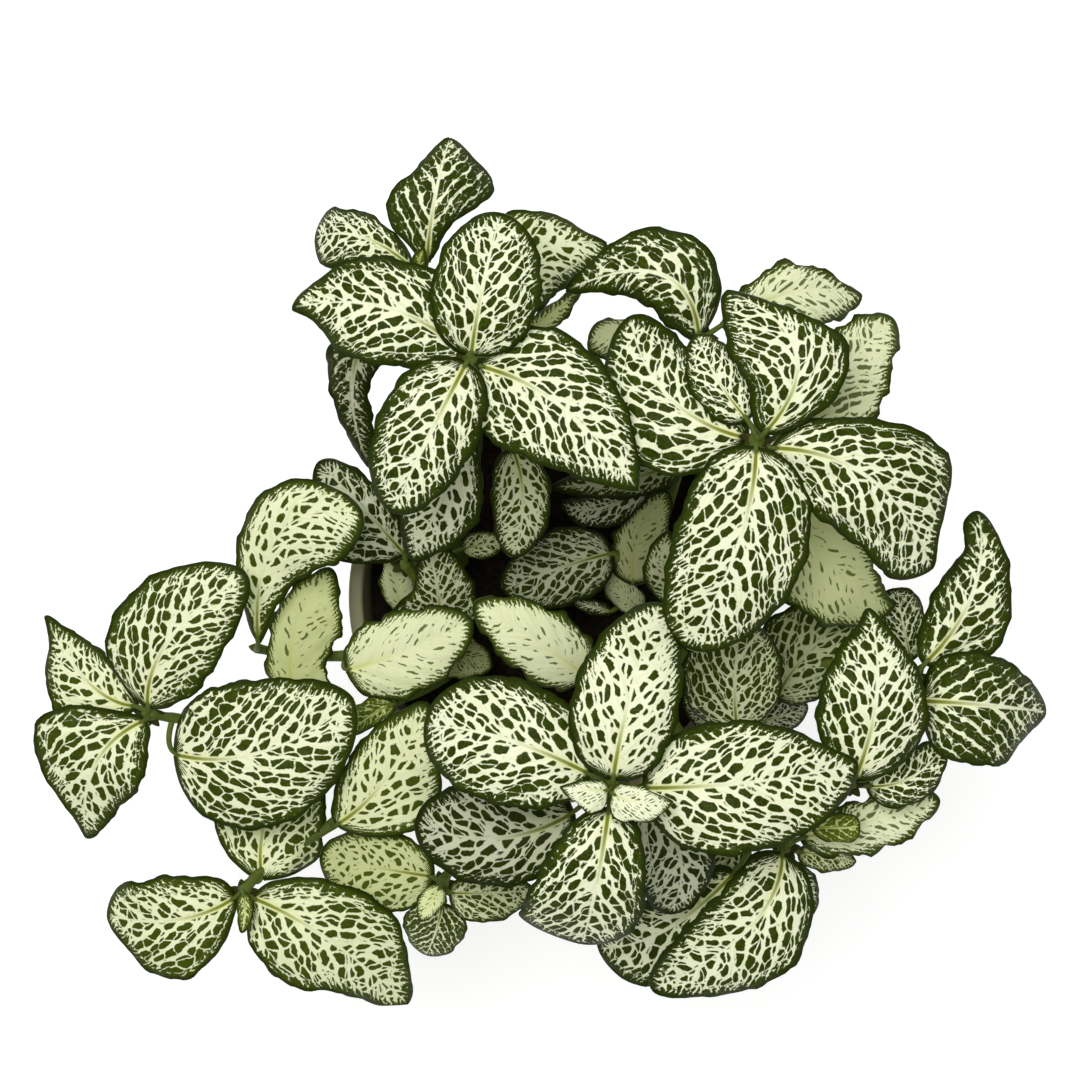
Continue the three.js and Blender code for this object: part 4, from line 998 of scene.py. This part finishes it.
def fill_between(points, faces, loops, flip):
    """Triangles between an outer ring, the first of the loops, and the holes in it."""
    order = [v for loop in loops for v in loop]
    flat = [Vector(points[v][:2]) for v in order]
    ends = accumulate(len(loop) for loop in loops)
    rings = [list(range(end - len(loop), end)) for loop, end in zip(loops, ends)]
    inside_without_holes = 2
    for face in delaunay_2d_cdt(flat, [], rings, inside_without_holes, 1e-6)[2]:
        ids = [order[v] for v in face]
        pairs = zip(ids, ids[1:] + ids[:1])
        area = sum(points[a][0] * points[b][1] - points[b][0] * points[a][1] for a, b in pairs)
        faces.append(tuple(ids[::-1]) if (area > 0) == flip else tuple(ids))


def soil_top(r, angle):
    across, along = np.sin(3 * angle + r / 9), np.cos(5 * angle - r / 5)
    lumps = 0.5 * across + 0.35 * along + 0.3 * np.sin(r / 4)
    return SOIL["top"] + SOIL["lump"] * lumps - np.where(r > SOIL["hollow_beyond"], SOIL["hollow"], 0)


# A crumb of soil, before it is turned and scaled
CRUMB = (
    (1, 1, 1), (1, -1, -1), (-1, 1, -1), (-1, -1, 1), (0.2, 0.1, 1.5), (1.4, 0.2, 0.1), (0.1, -1.4, 0),
)
CRUMB_FACES = (
    (0, 4, 5), (0, 5, 2), (0, 2, 4), (4, 2, 3), (4, 3, 6),
    (4, 6, 5), (5, 6, 1), (5, 1, 2), (1, 6, 3), (1, 3, 2),
)


def make_soil(material):
    """The soil's block with a crumbly top, and loose crumbs on it."""
    rng = random.Random(11)
    edge = inner(COLLAR_FOOT - 2) - SOIL["gap"] - 0.5
    bottom = POT["floor"] + SOIL["gap"]
    sides, rings = 160, 46
    points = []

    def ring(radius, height=None):
        for angle in turns(sides):
            z = float(soil_top(radius, angle)) + rng.uniform(-0.35, 0.2) if height is None else height
            points.append((radius * math.cos(angle), radius * math.sin(angle), z))

    ring(inner(bottom) - 2, bottom)
    ring(inner(bottom + 2) - 0.6, bottom + 2)
    ring(edge - 0.4, COLLAR_FOOT - 5)
    for i in range(rings):
        ring(edge * (1 - i / rings) ** 0.9)
    faces = capped(len(points) // sides, sides)

    for _ in range(SOIL["crumbs"]):
        r, angle = (edge - 2) * math.sqrt(rng.random()), rng.uniform(0, math.tau)
        size = rng.uniform(*SOIL["crumb_size"])
        turn = rng.uniform(0, math.tau)
        centre = (r * math.cos(angle), r * math.sin(angle), float(soil_top(r, angle)) - 0.1)
        start = len(points)
        for x, y, z in CRUMB:
            x, y = x * math.cos(turn) - y * math.sin(turn), x * math.sin(turn) + y * math.cos(turn)
            points.append((centre[0] + x * size, centre[1] + y * size, centre[2] + z * size * 0.7))
        faces.extend(tuple(start + v for v in face) for face in CRUMB_FACES)
    make_piece("peat_soil", points, faces, "soil", material)


# Camera, light and floor, in the picture's view


def make_view():
    scene = bpy.context.scene
    data = bpy.data.cameras.new("camera")
    data.lens = data.sensor_width * VIEW["focal"] / VIEW["size"]
    data.clip_start, data.clip_end = 0.05, 10.0
    camera = show("camera", data)
    camera.location = (*(POT_OFFSET * METRE), VIEW["eye"] * METRE)
    scene.camera = camera
    scene.view_settings.view_transform = "Standard"


# Each lamp's place and size in metres, and its power in watts
LAMPS = dict(overhead=((-0.25, 0.35, 1.5), 0.8, 16.5), front=((0.5, -0.7, 1.2), 0.7, 2.0))


def make_light():
    world = bpy.data.worlds.new("world")
    world.use_nodes = True
    background = world.node_tree.nodes["Background"]
    background.inputs["Color"].default_value = (1, 1, 1, 1)
    background.inputs["Strength"].default_value = 0.3
    bpy.context.scene.world = world
    target = Vector((0, 0, 0.13))
    for name, (spot, size, power) in LAMPS.items():
        data = bpy.data.lights.new(name, "AREA")
        data.size = size
        data.energy = power
        light = show(name, data)
        light.location = spot
        light.rotation_mode = "QUATERNION"
        light.rotation_quaternion = (target - Vector(spot)).to_track_quat("-Z", "Y")


def make_floor():
    half = 6.0
    mesh = bpy.data.meshes.new("floor")
    corners = [(-half, -half, 0), (half, -half, 0), (half, half, 0), (-half, half, 0)]
    mesh.from_pydata(corners, [], [(0, 1, 2, 3)])
    mesh.materials.append(floor_material())
    floor = show("floor", mesh)


# The whole thing


def make_plant():
    leaves, stalks, painted_shade_buds = leaf_material(), stalk_material(), painted_shade_bud_material()
    blades, lines = [], {}
    for name, (root, *route) in ROUTES.items():
        foot = place(root, SOIL["top"])
        heights = (-STALK["in_soil"], -STALK["in_soil"] / 2, 1, STALK["upright"])
        points = [foot + [0, 0, z] for z in heights]
        points += [place(at[:2], at[2]) for at in route]
        lines[name] = through(points, 100)
        for leaf, row in LEAVES[name].items():
            blades.append(Blade(leaf, len(blades), name, lines[name][30:], *row))
    settle(blades)
    for blade in blades:
        make_leaf(blade, leaves)
        make_petiole(blade, stalks)
    for name, line in lines.items():
        make_stalk(name, line, [blade.joint for blade in blades if blade.stem == name], stalks)
        if name not in BUD["bare"]:
            make_bud(name, line, painted_shade_buds)


make_view()
make_light()
make_floor()
make_pot(pot_material())
make_soil(soil_material())
make_plant()
